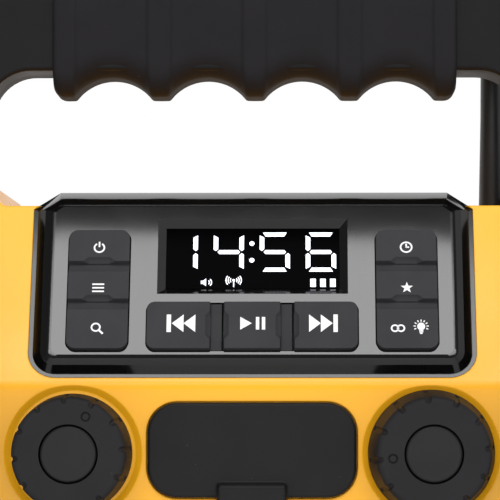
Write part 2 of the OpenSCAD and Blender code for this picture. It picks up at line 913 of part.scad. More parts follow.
// Recess for the display: a frustum, wider at the panel face
module display_recess() {
    middle = display_up + display_h / 2;
    slope = display_draft / display_depth;
    far = 2;
    intersection() {
        translate([0, bezel_h, lens_top_n])
            rotate([90, 0, 0])
                linear_extrude(bezel_h)
                    polygon([
                        [-display_w / 2 + display_draft, 0],
                        [display_w / 2 - display_draft, 0],
                        [display_w / 2 - display_draft + far * slope, far],
                        [-display_w / 2 + display_draft - far * slope, far]]);
        translate([-bezel_w / 2, middle, lens_top_n])
            rotate([90, 0, 90])
                linear_extrude(bezel_w)
                    polygon([
                        [-display_h / 2 + display_draft, 0],
                        [display_h / 2 - display_draft, 0],
                        [display_h / 2 - display_draft + far * slope, far],
                        [-display_h / 2 + display_draft - far * slope, far]]);
    }
}

module stack_outline(grow) {
    translate([0, keys_up + stack_h / 2])
        rounded(stack_key_w + 2 * grow, stack_h + 2 * grow, 2.3 + grow);
}

module row_outline(grow) {
    translate([0, keys_up + row_key_h / 2])
        rounded(row_w + 2 * grow, row_key_h + 2 * grow, 2 + grow);
}

module control_bezel() {
    rise = bevel_rise;
    color("#17171A")
        on_panel()
            difference() {
                union() {
                    raised(-seat_depth, 0)
                        bezel_outline(0);
                    hull() {
                        raised(-0.5, 0)
                            bezel_outline(lip_w);
                        raised(rise * 0.62, rise * 0.62 + eps)
                            bezel_outline(lip_w + bevel_w * 0.42);
                        raised(rise * 0.9, rise * 0.9 + eps)
                            bezel_outline(lip_w + bevel_w * 0.75);
                        raised(rise - eps, rise)
                            bezel_outline(lip_w + bevel_w);
                    }
                }
                raised(-seat_depth - eps, face_back_n)
                    translate([-pocket_w / 2, pocket_low])
                        square([pocket_w, pocket_high - pocket_low]);
                display_recess();
                raised(face_back_n - eps, face_n)
                    lens_outline(0);
                for (x = [-stack_x, stack_x])
                    translate([x, 0])
                        raised(face_back_n - eps, face_n + past)
                            stack_outline(key_gap);
                raised(face_back_n - eps, face_n + past)
                    row_outline(key_gap);
            }
}

module display_lens() {
    color("#0A0B0D")
        on_panel() {
            raised(module_n, face_back_n)
                lens_outline(1.4);
            raised(face_back_n - eps, lens_top_n)
                lens_outline(0);
        }
}

module display_module() {
    color("#1A1B1E")
        on_panel()
            raised(board_n, module_n)
                lens_outline(2.2);
}

// Board outline, with feet over the ledge's posts
module key_board() {
    color("#1F5B3A")
        on_panel()
            difference() {
                raised(board_n - board_t, board_n)
                    translate([-board_w / 2, board_low])
                        square([board_w, board_high - board_low]);
                for (x = [-post_x, post_x])
                    for (up = [board_low + post_inset, board_high - post_inset])
                        translate([x, up, board_n - board_t - eps])
                            cylinder(r = board_screw_r, h = board_t + 2 * eps);
            }
}

module board_screws() {
    color("#8A8C8E")
        on_panel()
            for (x = [-post_x, post_x])
                for (up = [board_low + post_inset, board_high - post_inset])
                    translate([x, up, board_n - board_t]) {
                        cylinder(r = board_screw_r, h = board_t + board_screw_grip);
                        translate([0, 0, -1.4])
                            cylinder(r = 2, h = 1.4);
                    }
}

// Places of the nine keys: x and distance up the bezel to each key's middle
stack_edges = [0, low_key_h, low_key_h + middle_key_h, stack_h];
function stack_at(side, place) =
    [side * stack_x, keys_up + (stack_edges[place] + stack_edges[place + 1]) / 2];
function row_at(place) = [place * row_pitch, keys_up + row_key_h / 2];
key_places = [
    stack_at(-1, 2), stack_at(-1, 1), stack_at(-1, 0),
    stack_at(1, 2), stack_at(1, 1), stack_at(1, 0),
    row_at(-1), row_at(0), row_at(1)];

module key_switches() {
    color("#B8BABC")
        on_panel()
            for (at = key_places)
                translate([at[0], at[1], board_n])
                    difference() {
                        translate([-3, -3, 0])
                            cube([6, 6, switch_n]);
                        translate([0, 0, 0.8])
                            cylinder(r = switch_r, h = switch_n);
                    }
}

// Stem under a key, that works its switch
module key_stem(at) {
    translate([at[0], at[1], stem_n])
        cylinder(r = stem_r, h = flange_n - stem_n + eps);
}

// Steep-sided groove between neighbouring keys, along X, with its key gap at the far side
groove_draft = 0.35;
module groove_cut(width, length) {
    floor_half = width / 2 - groove_draft;
    rise = key_groove + 1;
    translate([-length / 2 - 1, 0, key_top_n - key_groove])
        rotate([90, 0, 90])
            linear_extrude(length + 2)
                polygon([
                    [-floor_half, 0],
                    [floor_half, 0],
                    [floor_half + groove_draft * rise / key_groove, rise],
                    [-floor_half - groove_draft * rise / key_groove, rise]]);
    translate([-length / 2 - 1, -floor_half, flange_n - 1])
        cube([length + 2, key_gap, key_top_n]);
}

// Hollow for the fingertip: a rod across the groove's edges with tapered ends
hollow_len = 5.4;
hollow_end = 2.2;
hollow_taper = 0.6;
module finger_hollow(width) {
    half = width / 2 + hollow_reach;
    depth = key_groove - 0.1;
    above = (half * half - depth * depth) / (2 * depth);
    hollow_r = above + depth;
    translate([0, 0, key_top_n + above])
        rotate([0, 90, 0]) {
            translate([0, 0, -hollow_len / 2])
                cylinder(r = hollow_r, h = hollow_len);
            for (away = [0, 180])
                rotate([away, 0, 0])
                    translate([0, 0, hollow_len / 2 - eps])
                        cylinder(r1 = hollow_r, r2 = hollow_r - hollow_end * hollow_taper, h = hollow_end);
        }
}

// One key of a side stack; place 0 is the lowest. Its hollow is in its lower edge
module stack_key(side, place) {
    at = stack_at(side, place);
    x = at[0];
    to_gap = stack_groove_w / 2 - groove_draft;
    low = keys_up + stack_edges[place] - (place == 0 ? past : to_gap);
    high = keys_up + stack_edges[place + 1] + (place == 2 ? past : -to_gap);
    on_panel()
        difference() {
            union() {
                intersection() {
                    union() {
                        translate([x, 0])
                            raised(flange_n, key_top_n)
                                stack_outline(0);
                        translate([x, 0])
                            raised(flange_n, flange_top_n)
                                translate([0, keys_up + stack_h / 2])
                                    square([stack_key_w + 2, stack_h + 2], center = true);
                    }
                    translate([x - stack_key_w, low, flange_n])
                        cube([2 * stack_key_w, high - low, past * 2]);
                }
                key_stem(at);
            }
            if (place < 2)
                translate([x, keys_up + stack_edges[place + 1], 0])
                    groove_cut(stack_groove_w, stack_key_w);
            if (place > 0)
                translate([x, keys_up + stack_edges[place], 0]) {
                    groove_cut(stack_groove_w, stack_key_w);
                    finger_hollow(stack_groove_w);
                }
        }
}

// One key of the transport row; place -1 is the left one
module row_key(place) {
    at = row_at(place);
    to_gap = row_groove_w / 2 - groove_draft;
    left = at[0] - row_pitch / 2 + (place == -1 ? -past : to_gap);
    right = at[0] + row_pitch / 2 + (place == 1 ? past : to_gap);
    on_panel()
        difference() {
            union() {
                intersection() {
                    union() {
                        raised(flange_n, key_top_n)
                            row_outline(0);
                        raised(flange_n, flange_top_n)
                            translate([0, keys_up + row_key_h / 2])
                                square([row_w + 2, row_key_h + 2], center = true);
                    }
                    translate([left, 0, flange_n])
                        cube([right - left, bezel_h, past * 2]);
                }
                key_stem(at);
            }
            for (edge = [place - 0.5, place + 0.5])
                if (abs(edge) < 1)
                    translate([edge * row_pitch, at[1], 0])
                        rotate([0, 0, 90]) {
                            groove_cut(row_groove_w, row_key_h);
                            finger_hollow(row_groove_w);
                        }
        }
}

key_colour = "#26262A";
module power_key() { color(key_colour) stack_key(-1, 2); }
module mode_key() { color(key_colour) stack_key(-1, 1); }
module scan_key() { color(key_colour) stack_key(-1, 0); }
module clock_key() { color(key_colour) stack_key(1, 2); }
module preset_key() { color(key_colour) stack_key(1, 1); }
module light_key() { color(key_colour) stack_key(1, 0); }
module previous_key() { color(key_colour) row_key(-1); }
module play_key() { color(key_colour) row_key(0); }
module next_key() { color(key_colour) row_key(1); }

// ---------------------------------------------------------------- knobs

marker_r = 0.9;
marker_ring_r = 10.1;
volume_turn = 65;
tuning_turn = 186;

// A tapered knob on its axis, pointing forward, turned so that its mark shows the setting.
// Each notch runs down the side and over the rounded rim
rim_round = 1.6;
notch_r = 0.8;
notch_depth = 0.4;
rim_notch_depth = 1.2;
module knob(base_r, mark_turn) {
    length = knob_base_y - knob_front_y;
    recess = hub_y - knob_front_y;
    floor_z = length - recess;
    rotate([90, 0, 0])
        difference() {
            rotate_extrude()
                difference() {
                    soft_polygon([[0, 0], [base_r, 0], [knob_rim_r, length], [0, length]],
                        [0, 0.6, rim_round, 0]);
                    translate([cap_r + 0.3, floor_z])
                        mirror([1, 0])
                            square([cap_r + 0.3, recess + 1]);
                    translate([0, -eps])
                        square([counterbore_r, 4]);
                    square([shaft_r, floor_z + 1]);
                }
            for (i = [0:knob_notches - 1])
                rotate([0, 0, mark_turn + i * 360 / knob_notches]) {
                    translate([base_r + notch_r - notch_depth, 0, 0])
                        rotate([0, -atan((base_r - knob_rim_r) / length), 0])
                            translate([0, 0, 3])
                                cylinder(r = notch_r, h = length);
                    translate([knob_rim_r, 0, length])
                        rotate([0, -45, 0])
                            translate([notch_r - rim_notch_depth, 0, -past])
                                cylinder(r = notch_r, h = 2 * past);
                }
            rotate([0, 0, mark_turn])
                translate([marker_ring_r, 0, length - 0.5])
                    difference() {
                        cylinder(r = marker_r + 0.3, h = 1);
                        cylinder(r = marker_r - 0.1, h = 1);
                    }
        }
}

module knob_cap() {
    rotate([90, 0, 0])
        rotate_extrude()
            soft_polygon([[0, 0], [cap_r, 0], [cap_r, knob_cap_t], [0, knob_cap_t]],
                [0, 0, 0.8, 0]);
}
knob_cap_t = hub_y - knob_front_y - 0.2;

module shaft() {
    rod_y(0, 0, shaft_r, hub_y, shaft_back_y);
}

module volume_knob() {
    color("#333236")
        translate([-knob_x, knob_base_y, knob_z])
            knob(volume_base_r, volume_turn);
}

module volume_cap() {
    color("#2C2B2F")
        translate([-knob_x, hub_y, knob_z])
            knob_cap();
}

module volume_shaft() {
    color("#B8BABC")
        translate([-knob_x, 0, knob_z])
            shaft();
}

module tuning_knob() {
    color("#333236")
        translate([knob_x, knob_base_y, knob_z])
            knob(tuning_base_r, tuning_turn);
}

module tuning_cap() {
    color("#2C2B2F")
        translate([knob_x, hub_y, knob_z])
            knob_cap();
}

module tuning_shaft() {
    color("#B8BABC")
        translate([knob_x, 0, knob_z])
            shaft();
}

module encoders() {
    color("#9A9C9E")
        both_sides()
            difference() {
                union() {
                    translate([knob_x - encoder_w / 2, inner_front_y, knob_z - encoder_w / 2])
                        cube([encoder_w, encoder_d, encoder_w]);
                    rod_y(knob_x, knob_z, bush_r, dish_floor_y - 3.4, inner_front_y + 1);
                }
                rod_y(knob_x, knob_z, shaft_r + shaft_fit, dish_floor_y - 4, shaft_back_y + 0.3);
            }
}

module encoder_nuts() {
    color("#B8BABC")
        both_sides()
            difference() {
                translate([knob_x, dish_floor_y, knob_z])
                    rotate([90, 0, 0])
                        cylinder(r = nut_r, h = nut_t, $fn = 6);
                rod_y(knob_x, knob_z, bush_r, dish_floor_y - 4, dish_floor_y + eps);
            }
}

// ---------------------------------------------------------------- socket bay

// Rubber cover that swings down on its knuckle
module socket_cover() {
    color("#2A292C")
        difference() {
            union() {
                difference() {
                    union() {
                        deep(cover_front_y, cover_back_y)
                            cover_outline(0);
                        deep(cover_back_y - eps, cover_back_y + 2.2)
                            difference() {
                                bay_outline(-0.6);
                                bay_outline(-2.2);
                            }
                    }
                    translate([-knuckle_w / 2 - 1, cover_back_y, cover_z - cover_h / 2])
                        cube([knuckle_w + 2, 3, 5.4]);
                }
                wide(-knuckle_w / 2, knuckle_w / 2) {
                    translate([knuckle_y, knuckle_z])
                        circle(knuckle_r);
                    soft_polygon([
                        [knuckle_y - knuckle_r, knuckle_z],
                        [cover_back_y, knuckle_z],
                        [cover_back_y, tab_top_z],
                        [knuckle_y - knuckle_r, tab_top_z]], [0, 0, 0, 1.4]);
                }
            }
            rod_x(knuckle_y, knuckle_z, socket_pin_r + pin_fit, -knuckle_w, knuckle_w);
        }
}

module socket_hinge_pin() {
    color("#B8BABC")
        rod_x(knuckle_y, knuckle_z, socket_pin_r, -knuckle_w / 2 - 4, knuckle_w / 2 + 4);
}

// Places of the three sockets across the panel, and their openings
jack_x = -14;
jack_r = 3;
usb_w = 13.2;
usb_h = 5.8;
inlet_x = 15;
inlet_r = 4;
jack_body_d = 10;
socket_board_w = 44;
socket_board_h = 18;

// Black cup behind the cover, with a floor that holds the sockets
module socket_panel() {
    color("#1B1B1D")
        difference() {
            deep(sill_y, bay_back_y + bay_wall)
                bay_outline(bay_wall);
            deep(sill_y - eps, bay_back_y)
                bay_outline(0);
            rod_y(jack_x, cover_z, jack_r, bay_back_y - eps, bay_back_y + 2 * bay_wall);
            rod_y(inlet_x, cover_z, inlet_r, bay_back_y - eps, bay_back_y + 2 * bay_wall);
            translate([-usb_w / 2, bay_back_y - eps, cover_z - usb_h / 2])
                cube([usb_w, 2 * bay_wall, usb_h]);
        }
}

module audio_jack() {
    color("#2E2E31")
        difference() {
            union() {
                rod_y(jack_x, cover_z, jack_r, bay_back_y, bay_back_y + bay_wall + eps);
                translate([jack_x - 4, bay_back_y + bay_wall, cover_z - 4])
                    cube([8, jack_body_d, 8]);
            }
            rod_y(jack_x, cover_z, 1.75, bay_back_y - eps, bay_back_y + jack_body_d);
        }
}

module charging_socket() {
    color("#B8BABC")
        difference() {
            translate([-usb_w / 2, bay_back_y, cover_z - usb_h / 2])
                cube([usb_w, jack_body_d + bay_wall, usb_h]);
            translate([-usb_w / 2 + 0.5, bay_back_y - eps, cover_z - usb_h / 2 + 0.5])
                cube([usb_w - 1, jack_body_d - 1, usb_h - 1]);
        }
    color("#2E2E31")
        translate([-usb_w / 2 + 0.5, bay_back_y + 1, cover_z])
            cube([usb_w - 1, jack_body_d - 2, 1.8]);
}

module power_inlet() {
    color("#2E2E31")
        difference() {
            union() {
                rod_y(inlet_x, cover_z, inlet_r, bay_back_y, bay_back_y + bay_wall + eps);
                translate([inlet_x - 5, bay_back_y + bay_wall, cover_z - 5])
                    cube([10, jack_body_d, 10]);
            }
            rod_y(inlet_x, cover_z, 2.8, bay_back_y - eps, bay_back_y + jack_body_d - 1);
        }
    color("#B8BABC")
        rod_y(inlet_x, cover_z, 1, bay_back_y + 1, bay_back_y + jack_body_d - 1 + eps);
}

module socket_board() {
    color("#1F5B3A")
        translate([-socket_board_w / 2, bay_back_y + bay_wall + jack_body_d,
            cover_z - socket_board_h / 2])
            cube([socket_board_w, board_t, socket_board_h]);
}

// ---------------------------------------------------------------- speaker

grille_seat = 1.5;
grille_proud = 1.2;
grille_sheet_t = 1.2;
grille_border = 6;
speaker_screw_ring = speaker_r - 2.2;
speaker_screw_r = 1.2;
speaker_head_r = 1.6;
speaker_head_h = 1.6;
speaker_screw_bite = 0.8;
flange_t = 2;
surround_w = 5;
cap_dome_r = 12;
cone_depth = 20;

// Perforated steel grille with a folded rim
module speaker_grille() {
    rows = floor((grille_h / 2 - grille_border - grille_hole_r) / (grille_pitch * sqrt(3) / 2));
    color("#1D1D20")
        difference() {
            deep(front_y - grille_proud, front_y + grille_seat)
                grille_outline(0);
            deep(front_y - grille_proud + grille_sheet_t, front_y + grille_seat + eps)
                grille_outline(-grille_sheet_t);
            deep(front_y - grille_proud - eps, front_y - grille_proud + grille_sheet_t + eps)
                for (row = [-rows:rows]) {
                    shift = abs(row) % 2 / 2;
                    z = row * grille_pitch * sqrt(3) / 2;
                    corner = max(0, abs(z) - grille_h / 2 + grille_corner);
                    reach = grille_w / 2 - grille_border - grille_hole_r
                        - grille_corner + sqrt(pow(grille_corner, 2) - pow(corner, 2));
                    count = floor(reach / grille_pitch - shift);
                    for (i = [-count - 2 * shift:count])
                        translate([(i + shift) * grille_pitch, speaker_z + z])
                            circle(grille_hole_r, $fn = 24);
                }
        }
}

// Parts of the loudspeaker, turned about its axis and pointing back
module speaker_part() {
    translate([0, inner_front_y, speaker_z])
        rotate([-90, 0, 0])
            rotate_extrude()
                children();
}

module speaker_basket() {
    color("#3A3A3D")
        difference() {
            speaker_part()
                soft_polygon([
                    [cone_r + 0.2, 0], [speaker_r, 0], [speaker_r, flange_t], [cone_r + 2, flange_t],
                    [cone_r + 2, flange_t + 4], [magnet_r - 4, cone_depth + 5],
                    [magnet_r - 4, cone_depth + 7], [15, cone_depth + 7], [15, cone_depth + 5],
                    [magnet_r - 6, cone_depth + 5], [cone_r + 0.2, flange_t + 3]],
                    [0, 0, 0.5, 0, 0, 0, 0, 0, 0, 0, 0]);
            for (a = [45:90:315])
                rod_y(speaker_screw_ring * cos(a), speaker_z + speaker_screw_ring * sin(a),
                    speaker_screw_r, inner_front_y - eps, inner_front_y + flange_t + eps);
        }
}

module speaker_cone() {
    color("#222225")
        speaker_part()
            polygon([[0, cone_depth - 6], [cap_dome_r - 3, cone_depth - 5], [cap_dome_r, cone_depth - 2],
                [cone_r - surround_w, 3], [cone_r - surround_w, 4.2],
                [cap_dome_r, cone_depth], [cap_dome_r, cone_depth + 4], [0, cone_depth + 4]]);
}

module speaker_surround() {
    roll = surround_w / 2;
    color("#161618")
        speaker_part()
            intersection() {
                translate([cone_r - roll + 0.1, 4.2])
                    difference() {
                        circle(roll + 0.1);
                        circle(roll - 1);
                    }
                translate([cone_r - surround_w, 0])
                    square([surround_w + 0.2, 4.2]);
            }
}

module speaker_magnet() {
    color("#58595C")
        speaker_part() {
            translate([0, cone_depth + 7])
                square([magnet_r, speaker_d - cone_depth - 7]);
            translate([0, cone_depth + 4])
                square([cap_dome_r, 3.1]);
        }
}

module speaker_screws() {
    color("#8A8C8E")
        for (a = [45:90:315]) {
            x = speaker_screw_ring * cos(a);
            z = speaker_z + speaker_screw_ring * sin(a);
            rod_y(x, z, speaker_screw_r, inner_front_y - speaker_screw_bite,
                inner_front_y + flange_t);
            rod_y(x, z, speaker_head_r, inner_front_y + flange_t,
                inner_front_y + flange_t + speaker_head_h);
        }
}

// ---------------------------------------------------------------- antenna

antenna_y = front_y + antenna_d;
antenna_seat = 10;
stud_r = 1.8;
stud_len = 4.4;
collar_h = 3.2;
boot_h = 24;
boot_share = 0.4;
core_r = 1.6;
core_len = 2;

module antenna_collar() {
    color("#1C1C1E")
        difference() {
            union() {
                translate([antenna_x, antenna_y, top_z])
                    rotate_extrude()
                        soft_polygon([[0, 0], [whip_r, 0], [whip_r, collar_h], [0, collar_h]],
                            [0, 0.3, 0.3, 0]);
                rod_z(antenna_x, antenna_y, stud_r, top_z - stud_len, top_z + 1);
            }
            rod_z(antenna_x, antenna_y, core_r, top_z + collar_h - core_len, top_z + collar_h + eps);
        }
}

// Rubber whip with a boot at its foot that tapers faster than the rest
module antenna_whip() {
    foot_z = top_z + collar_h;
    color("#202023") {
        rod_z(antenna_x, antenna_y, core_r, foot_z - core_len, foot_z + eps);
        translate([antenna_x, antenna_y, foot_z])
            rotate_extrude()
                soft_polygon([
                    [0, 0],
                    [whip_r, 0],
                    [whip_r - (whip_r - whip_tip_r) * boot_share, boot_h],
                    [whip_tip_r, whip_len],
                    [0, whip_len]],
                    [0, 0.3, 0, whip_tip_r * 0.9, 0]);
    }
}

// ---------------------------------------------------------------- boards and batteries

main_board_w = 2 * tray_post_x + 12;
main_board_back = 6;
chip_w = 14;
chip_h = 2.4;
chip_pitch = 22;
sink_w = 20;
sink_d = 16;
sink_h = 12;
fin_t = 2.4;
fin_pitch = 4.4;

module main_board() {
    color("#1F5B3A")
        translate([-main_board_w / 2, tray_front_y, tray_high_z + post_h])
            cube([main_board_w, inner_back_y - tray_front_y - main_board_back, board_t]);
    color("#2E2E31")
        for (i = [0:2])
            translate([i * chip_pitch - 3 * chip_w, tray_front_y + 4, tray_high_z + post_h + board_t])
                cube([chip_w, chip_w, chip_h]);
}

module heat_sink() {
    color("#B8BABC")
        translate([main_board_w / 2 - sink_w - 4, tray_front_y + 2, tray_high_z + post_h + board_t]) {
            cube([sink_w, sink_d, 2]);
            for (i = [0:4])
                translate([i * fin_pitch, 0, 0])
                    cube([fin_t, sink_d, sink_h]);
        }
}

module battery_tray() {
    color("#1B1B1D")
        difference() {
            union() {
                translate([-tray_w / 2, tray_front_y, tray_low_z])
                    cube([tray_w, inner_back_y - tray_front_y, tray_high_z - tray_low_z]);
                for (x = [-tray_post_x, tray_post_x])
                    for (y = [tray_front_y + 3, inner_back_y - 10])
                        rod_z(x, y, tray_post_r, tray_high_z - eps, tray_high_z + post_h);
            }
            translate([-tray_w / 2 + tray_wall, tray_front_y + tray_wall, tray_low_z + tray_wall])
                cube([tray_w - 2 * tray_wall, housing_d, tray_high_z - tray_low_z - 2 * tray_wall]);
        }
}

contact_x = cell_len + contact_room;
contact_t = 0.6;
contact_w = 12;
spring_r = 3.6;

module battery_cells() {
    color("#3E6E8C")
        for (z = [cell_low_z, cell_low_z + row_gap])
            for (x = [-cell_len, 0]) {
                rod_x(cell_y, z, cell_r, x, x + cell_len - 1.4);
                rod_x(cell_y, z, 3.2, x + cell_len - 1.4 - eps, x + cell_len - gap);
            }
}

module battery_contacts() {
    color("#C8CACC")
        for (z = [cell_low_z, cell_low_z + row_gap]) {
            translate([contact_x - contact_t, cell_y - contact_w / 2, z - contact_w / 2])
                cube([contact_t, contact_w, contact_w]);
            rod_x(cell_y, z, spring_r, cell_len, contact_x - contact_t + eps);
            translate([-contact_x, cell_y - contact_w / 2, z - contact_w / 2])
                cube([contact_t, contact_w, contact_w]);
            translate([-cell_len, cell_y, z])
                rotate([0, -90, 0])
                    cylinder(r1 = spring_r, r2 = contact_w / 2, h = contact_room - contact_t + eps);
        }
}

latch_w = 12;
latch_t = 1;
latch_y = back_y - 1.8;
latch_throw = 2.6;
latch_low_z = door_high_z - 10;
thumb_w = 9;
thumb_h = 5;

module battery_door() {
    window_low = latch_low_z - latch_travel;
    color("#F0A41C")
        difference() {
            union() {
                translate([-door_w / 2, back_y - door_t, door_hinge_z])
                    cube([door_w, door_t, door_high_z - door_hinge_z]);
                rod_x(door_hinge_y, door_hinge_z, barrel_r, -door_w / 2, door_w / 2);
            }
            rod_x(door_hinge_y, door_hinge_z, door_pin_r + pin_fit, -door_w, door_w);
            translate([-latch_w / 2 - gap, back_y - door_t - eps, window_low - gap])
                cube([latch_w + 2 * gap, door_t - 0.5, door_high_z]);
            translate([-thumb_w / 2 - gap, back_y - 1, window_low])
                cube([thumb_w + 2 * gap, 2, latch_travel + thumb_h + 1]);
            // Grip ribs under the latch
            for (i = [0:3])
                translate([-8, back_y - 0.6, window_low - 6 - 2 * i])
                    cube([16, 1, 1]);
        }
}

module door_hinge_pin() {
    color("#B8BABC")
        rod_x(door_hinge_y, door_hinge_z, door_pin_r, -door_w / 2 - 3, door_w / 2 + 3);
}

module door_latch() {
    color("#1B1B1D") {
        translate([-latch_w / 2, latch_y, latch_low_z])
            cube([latch_w, latch_t, door_high_z + latch_throw - latch_low_z]);
        difference() {
            translate([-thumb_w / 2 + gap, latch_y + latch_t - eps, latch_low_z + gap])
                cube([thumb_w - 2 * gap, back_y + 0.8 - latch_y - latch_t, thumb_h]);
            for (i = [1:3])
                translate([-thumb_w, back_y + 0.3, latch_low_z + i * thumb_h / 4])
                    cube([2 * thumb_w, 1, 0.5]);
        }
    }
}

front_shell();
rear_shell();
case_seal();
case_screws();
left_side_frame();
right_side_frame();
frame_screws();
feet();
handle_bar();
handle_grip();
handle_screws();
control_bezel();
display_lens();
display_module();
key_board();
key_switches();
board_screws();
power_key();
mode_key();
scan_key();
clock_key();
preset_key();
light_key();
previous_key();
play_key();
next_key();
volume_knob();
volume_cap();
volume_shaft();
tuning_knob();
tuning_cap();
tuning_shaft();
encoders();
encoder_nuts();
socket_cover();
socket_hinge_pin();
socket_panel();
audio_jack();
charging_socket();
power_inlet();
socket_board();
speaker_grille();
speaker_basket();
speaker_cone();
speaker_surround();
speaker_magnet();
speaker_screws();
main_board();
heat_sink();
antenna_collar();
antenna_whip();
battery_tray();
battery_cells();
battery_contacts();
battery_door();
door_hinge_pin();
door_latch();
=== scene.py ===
import json
import math

import bmesh
import bpy
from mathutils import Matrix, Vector

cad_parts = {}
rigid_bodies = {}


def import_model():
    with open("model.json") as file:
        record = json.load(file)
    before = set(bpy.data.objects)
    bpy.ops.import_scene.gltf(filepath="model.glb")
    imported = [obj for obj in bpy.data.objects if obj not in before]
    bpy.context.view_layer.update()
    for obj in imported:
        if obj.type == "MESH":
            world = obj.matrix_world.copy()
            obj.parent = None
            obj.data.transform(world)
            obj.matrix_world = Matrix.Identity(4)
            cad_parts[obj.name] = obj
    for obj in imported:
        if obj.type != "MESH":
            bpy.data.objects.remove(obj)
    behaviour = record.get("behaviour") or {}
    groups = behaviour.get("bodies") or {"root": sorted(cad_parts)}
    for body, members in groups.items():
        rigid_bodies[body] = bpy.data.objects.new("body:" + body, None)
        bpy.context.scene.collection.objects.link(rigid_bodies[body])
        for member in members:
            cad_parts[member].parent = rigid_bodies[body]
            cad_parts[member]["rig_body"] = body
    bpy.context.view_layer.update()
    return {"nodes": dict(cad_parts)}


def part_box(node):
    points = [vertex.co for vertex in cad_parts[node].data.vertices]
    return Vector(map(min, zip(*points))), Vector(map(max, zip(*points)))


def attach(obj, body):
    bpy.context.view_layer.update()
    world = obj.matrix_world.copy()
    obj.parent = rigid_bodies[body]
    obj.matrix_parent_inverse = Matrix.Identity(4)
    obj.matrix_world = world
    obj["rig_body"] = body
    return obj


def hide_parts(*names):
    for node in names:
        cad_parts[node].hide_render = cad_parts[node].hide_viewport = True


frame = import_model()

# A jobsite radio. Sizes are in millimetres, and MM turns them to metres. Points closer than
# WELD are joined, NEAR is the slack in telling where a point lies, and faces within FLAT_ANGLE,
# in degrees, become one.
MM = 0.001
WELD = 0.002
NEAR = 0.1
FLAT_ANGLE = 1.0

# The leaning panel, up its slope from the fold and out of it
LEAN = math.radians(25)
FOLD_Z = 145.6
FRONT_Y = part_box("front_shell")[0].y / MM
BEZEL_UP = 2.2
BEZEL_H = 53.0
LIP_W = 1.2
BEVEL_W = 4.7
BROW_DEPTH = 7.0
BROW_DROP = 0.75
BROW_Z = 195.8
HOUSING_TOP = 191.9
FACE_OUT = 3.0
KEY_OUT = 4.2
LENS_OUT = 1.5
STACK_X = 38.9
STACK_UPS = (11.7, 23.1, 34.6)
ROW_PITCH = 17.65
ROW_UP = 13.1

# The handle grip: its fingers, the raised lands between them, its ends and its section
FINGERS = 4
FINGER_PITCH = 25.2
FINGER_R = 12.7
FINGER_DEPTH = 5.2
FINGER_SOFT = 0.12
FINGER_FADE = -3.0
GRIP_LAND_W = 5.2
GRIP_LAND_SLOPE = 1.1
GRIP_FIELD = 0.5
GRIP_END_R = 2.8
GRIP_END_EASE = 1.4
GRIP_END_TURNS = (0, 12, 24, 36, 48, 60, 75, 90)
GRIP_LOW_R, GRIP_LOW_STEPS = 7.5, 12
GRIP_HIGH_R, GRIP_HIGH_STEPS = 9.0, 9
GRIP_FLAT_STEPS = 5
GRIP_STEP = 0.4

# The loudspeaker's grille
GRILLE_PITCH = 7.2
GRILLE_HOLE_R = 2.3
GRILLE_BORDER = 6.0
GRILLE_CORNER = 16.0
GRILLE_ROWS = 5
GRILLE_COLUMNS = 10
RIM_R = 0.28
RIM_OUT = 0.25
RIM_SLACK = 0.01

# Screws: the cross recess as shares of the head's radius and height, how far a screw may be
# turned, in radians, and the share of the widest radius from which a point belongs to the head
RECESS_LENGTH, RECESS_WIDTH, RECESS_DEPTH = 1.15, 0.26, 1.1
SCREW_TURN = 1.57
SCREW_SIDES = 28
HEAD_SHARE = 0.85

# The eye
EYE_X = 12.0
EYE_Z = 142.0
EYE_AWAY = 800.0
AIM_X = -0.5
AIM_UP = 37.5


# ------------------------------------------------------------------ places

def at(x, y, z):
    """A point of the radio, from millimetres."""
    return Vector((x, y, z)) * MM


def on_panel(x, up, out):
    """A point on the leaning panel: across, up the slope from the bezel's foot, and out of it."""
    slope = BEZEL_UP + up
    return at(x,
              FRONT_Y + slope * math.sin(LEAN) - out * math.cos(LEAN),
              FOLD_Z + slope * math.cos(LEAN) + out * math.sin(LEAN))


def round_point(cx, cy, r, degrees):
    """The point of a circle at an angle."""
    return cx + r * math.cos(math.radians(degrees)), cy + r * math.sin(math.radians(degrees))


# ------------------------------------------------------------------ meshes

def make_piece(name, points, faces, finishes, body):
    """A new mesh piece that rides on one body of the radio."""
    mesh = bpy.data.meshes.new(name)
    mesh.from_pydata([tuple(p) for p in points], [], faces)
    for finish in finishes:
        mesh.materials.append(finish)
    mesh.validate()
    piece = bpy.data.objects.new(name, mesh)
    bpy.context.scene.collection.objects.link(piece)
    if body:
        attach(piece, body)
    return piece


def settle(piece):
    """Applies a piece's modifiers, so that a plain mesh is left."""
    graph = bpy.context.evaluated_depsgraph_get()
    graph.update()
    mesh = bpy.data.meshes.new_from_object(piece.evaluated_get(graph))
    piece.modifiers.clear()
    piece.data = mesh
    return piece


def outward(piece):
    """Turns every face outward."""
    bm = bmesh.new()
    bm.from_mesh(piece.data)
    bmesh.ops.recalc_face_normals(bm, faces=bm.faces)
    bm.to_mesh(piece.data)
    bm.free()


def smooth(piece, angle=35):
    """Rounds the shading over every edge flatter than the angle."""
    bm = bmesh.new()
    bm.from_mesh(piece.data)
    for edge in bm.edges:
        edge.smooth = edge.calc_face_angle(0) < math.radians(angle)
    for face in bm.faces:
        face.smooth = True
    bm.to_mesh(piece.data)
    bm.free()


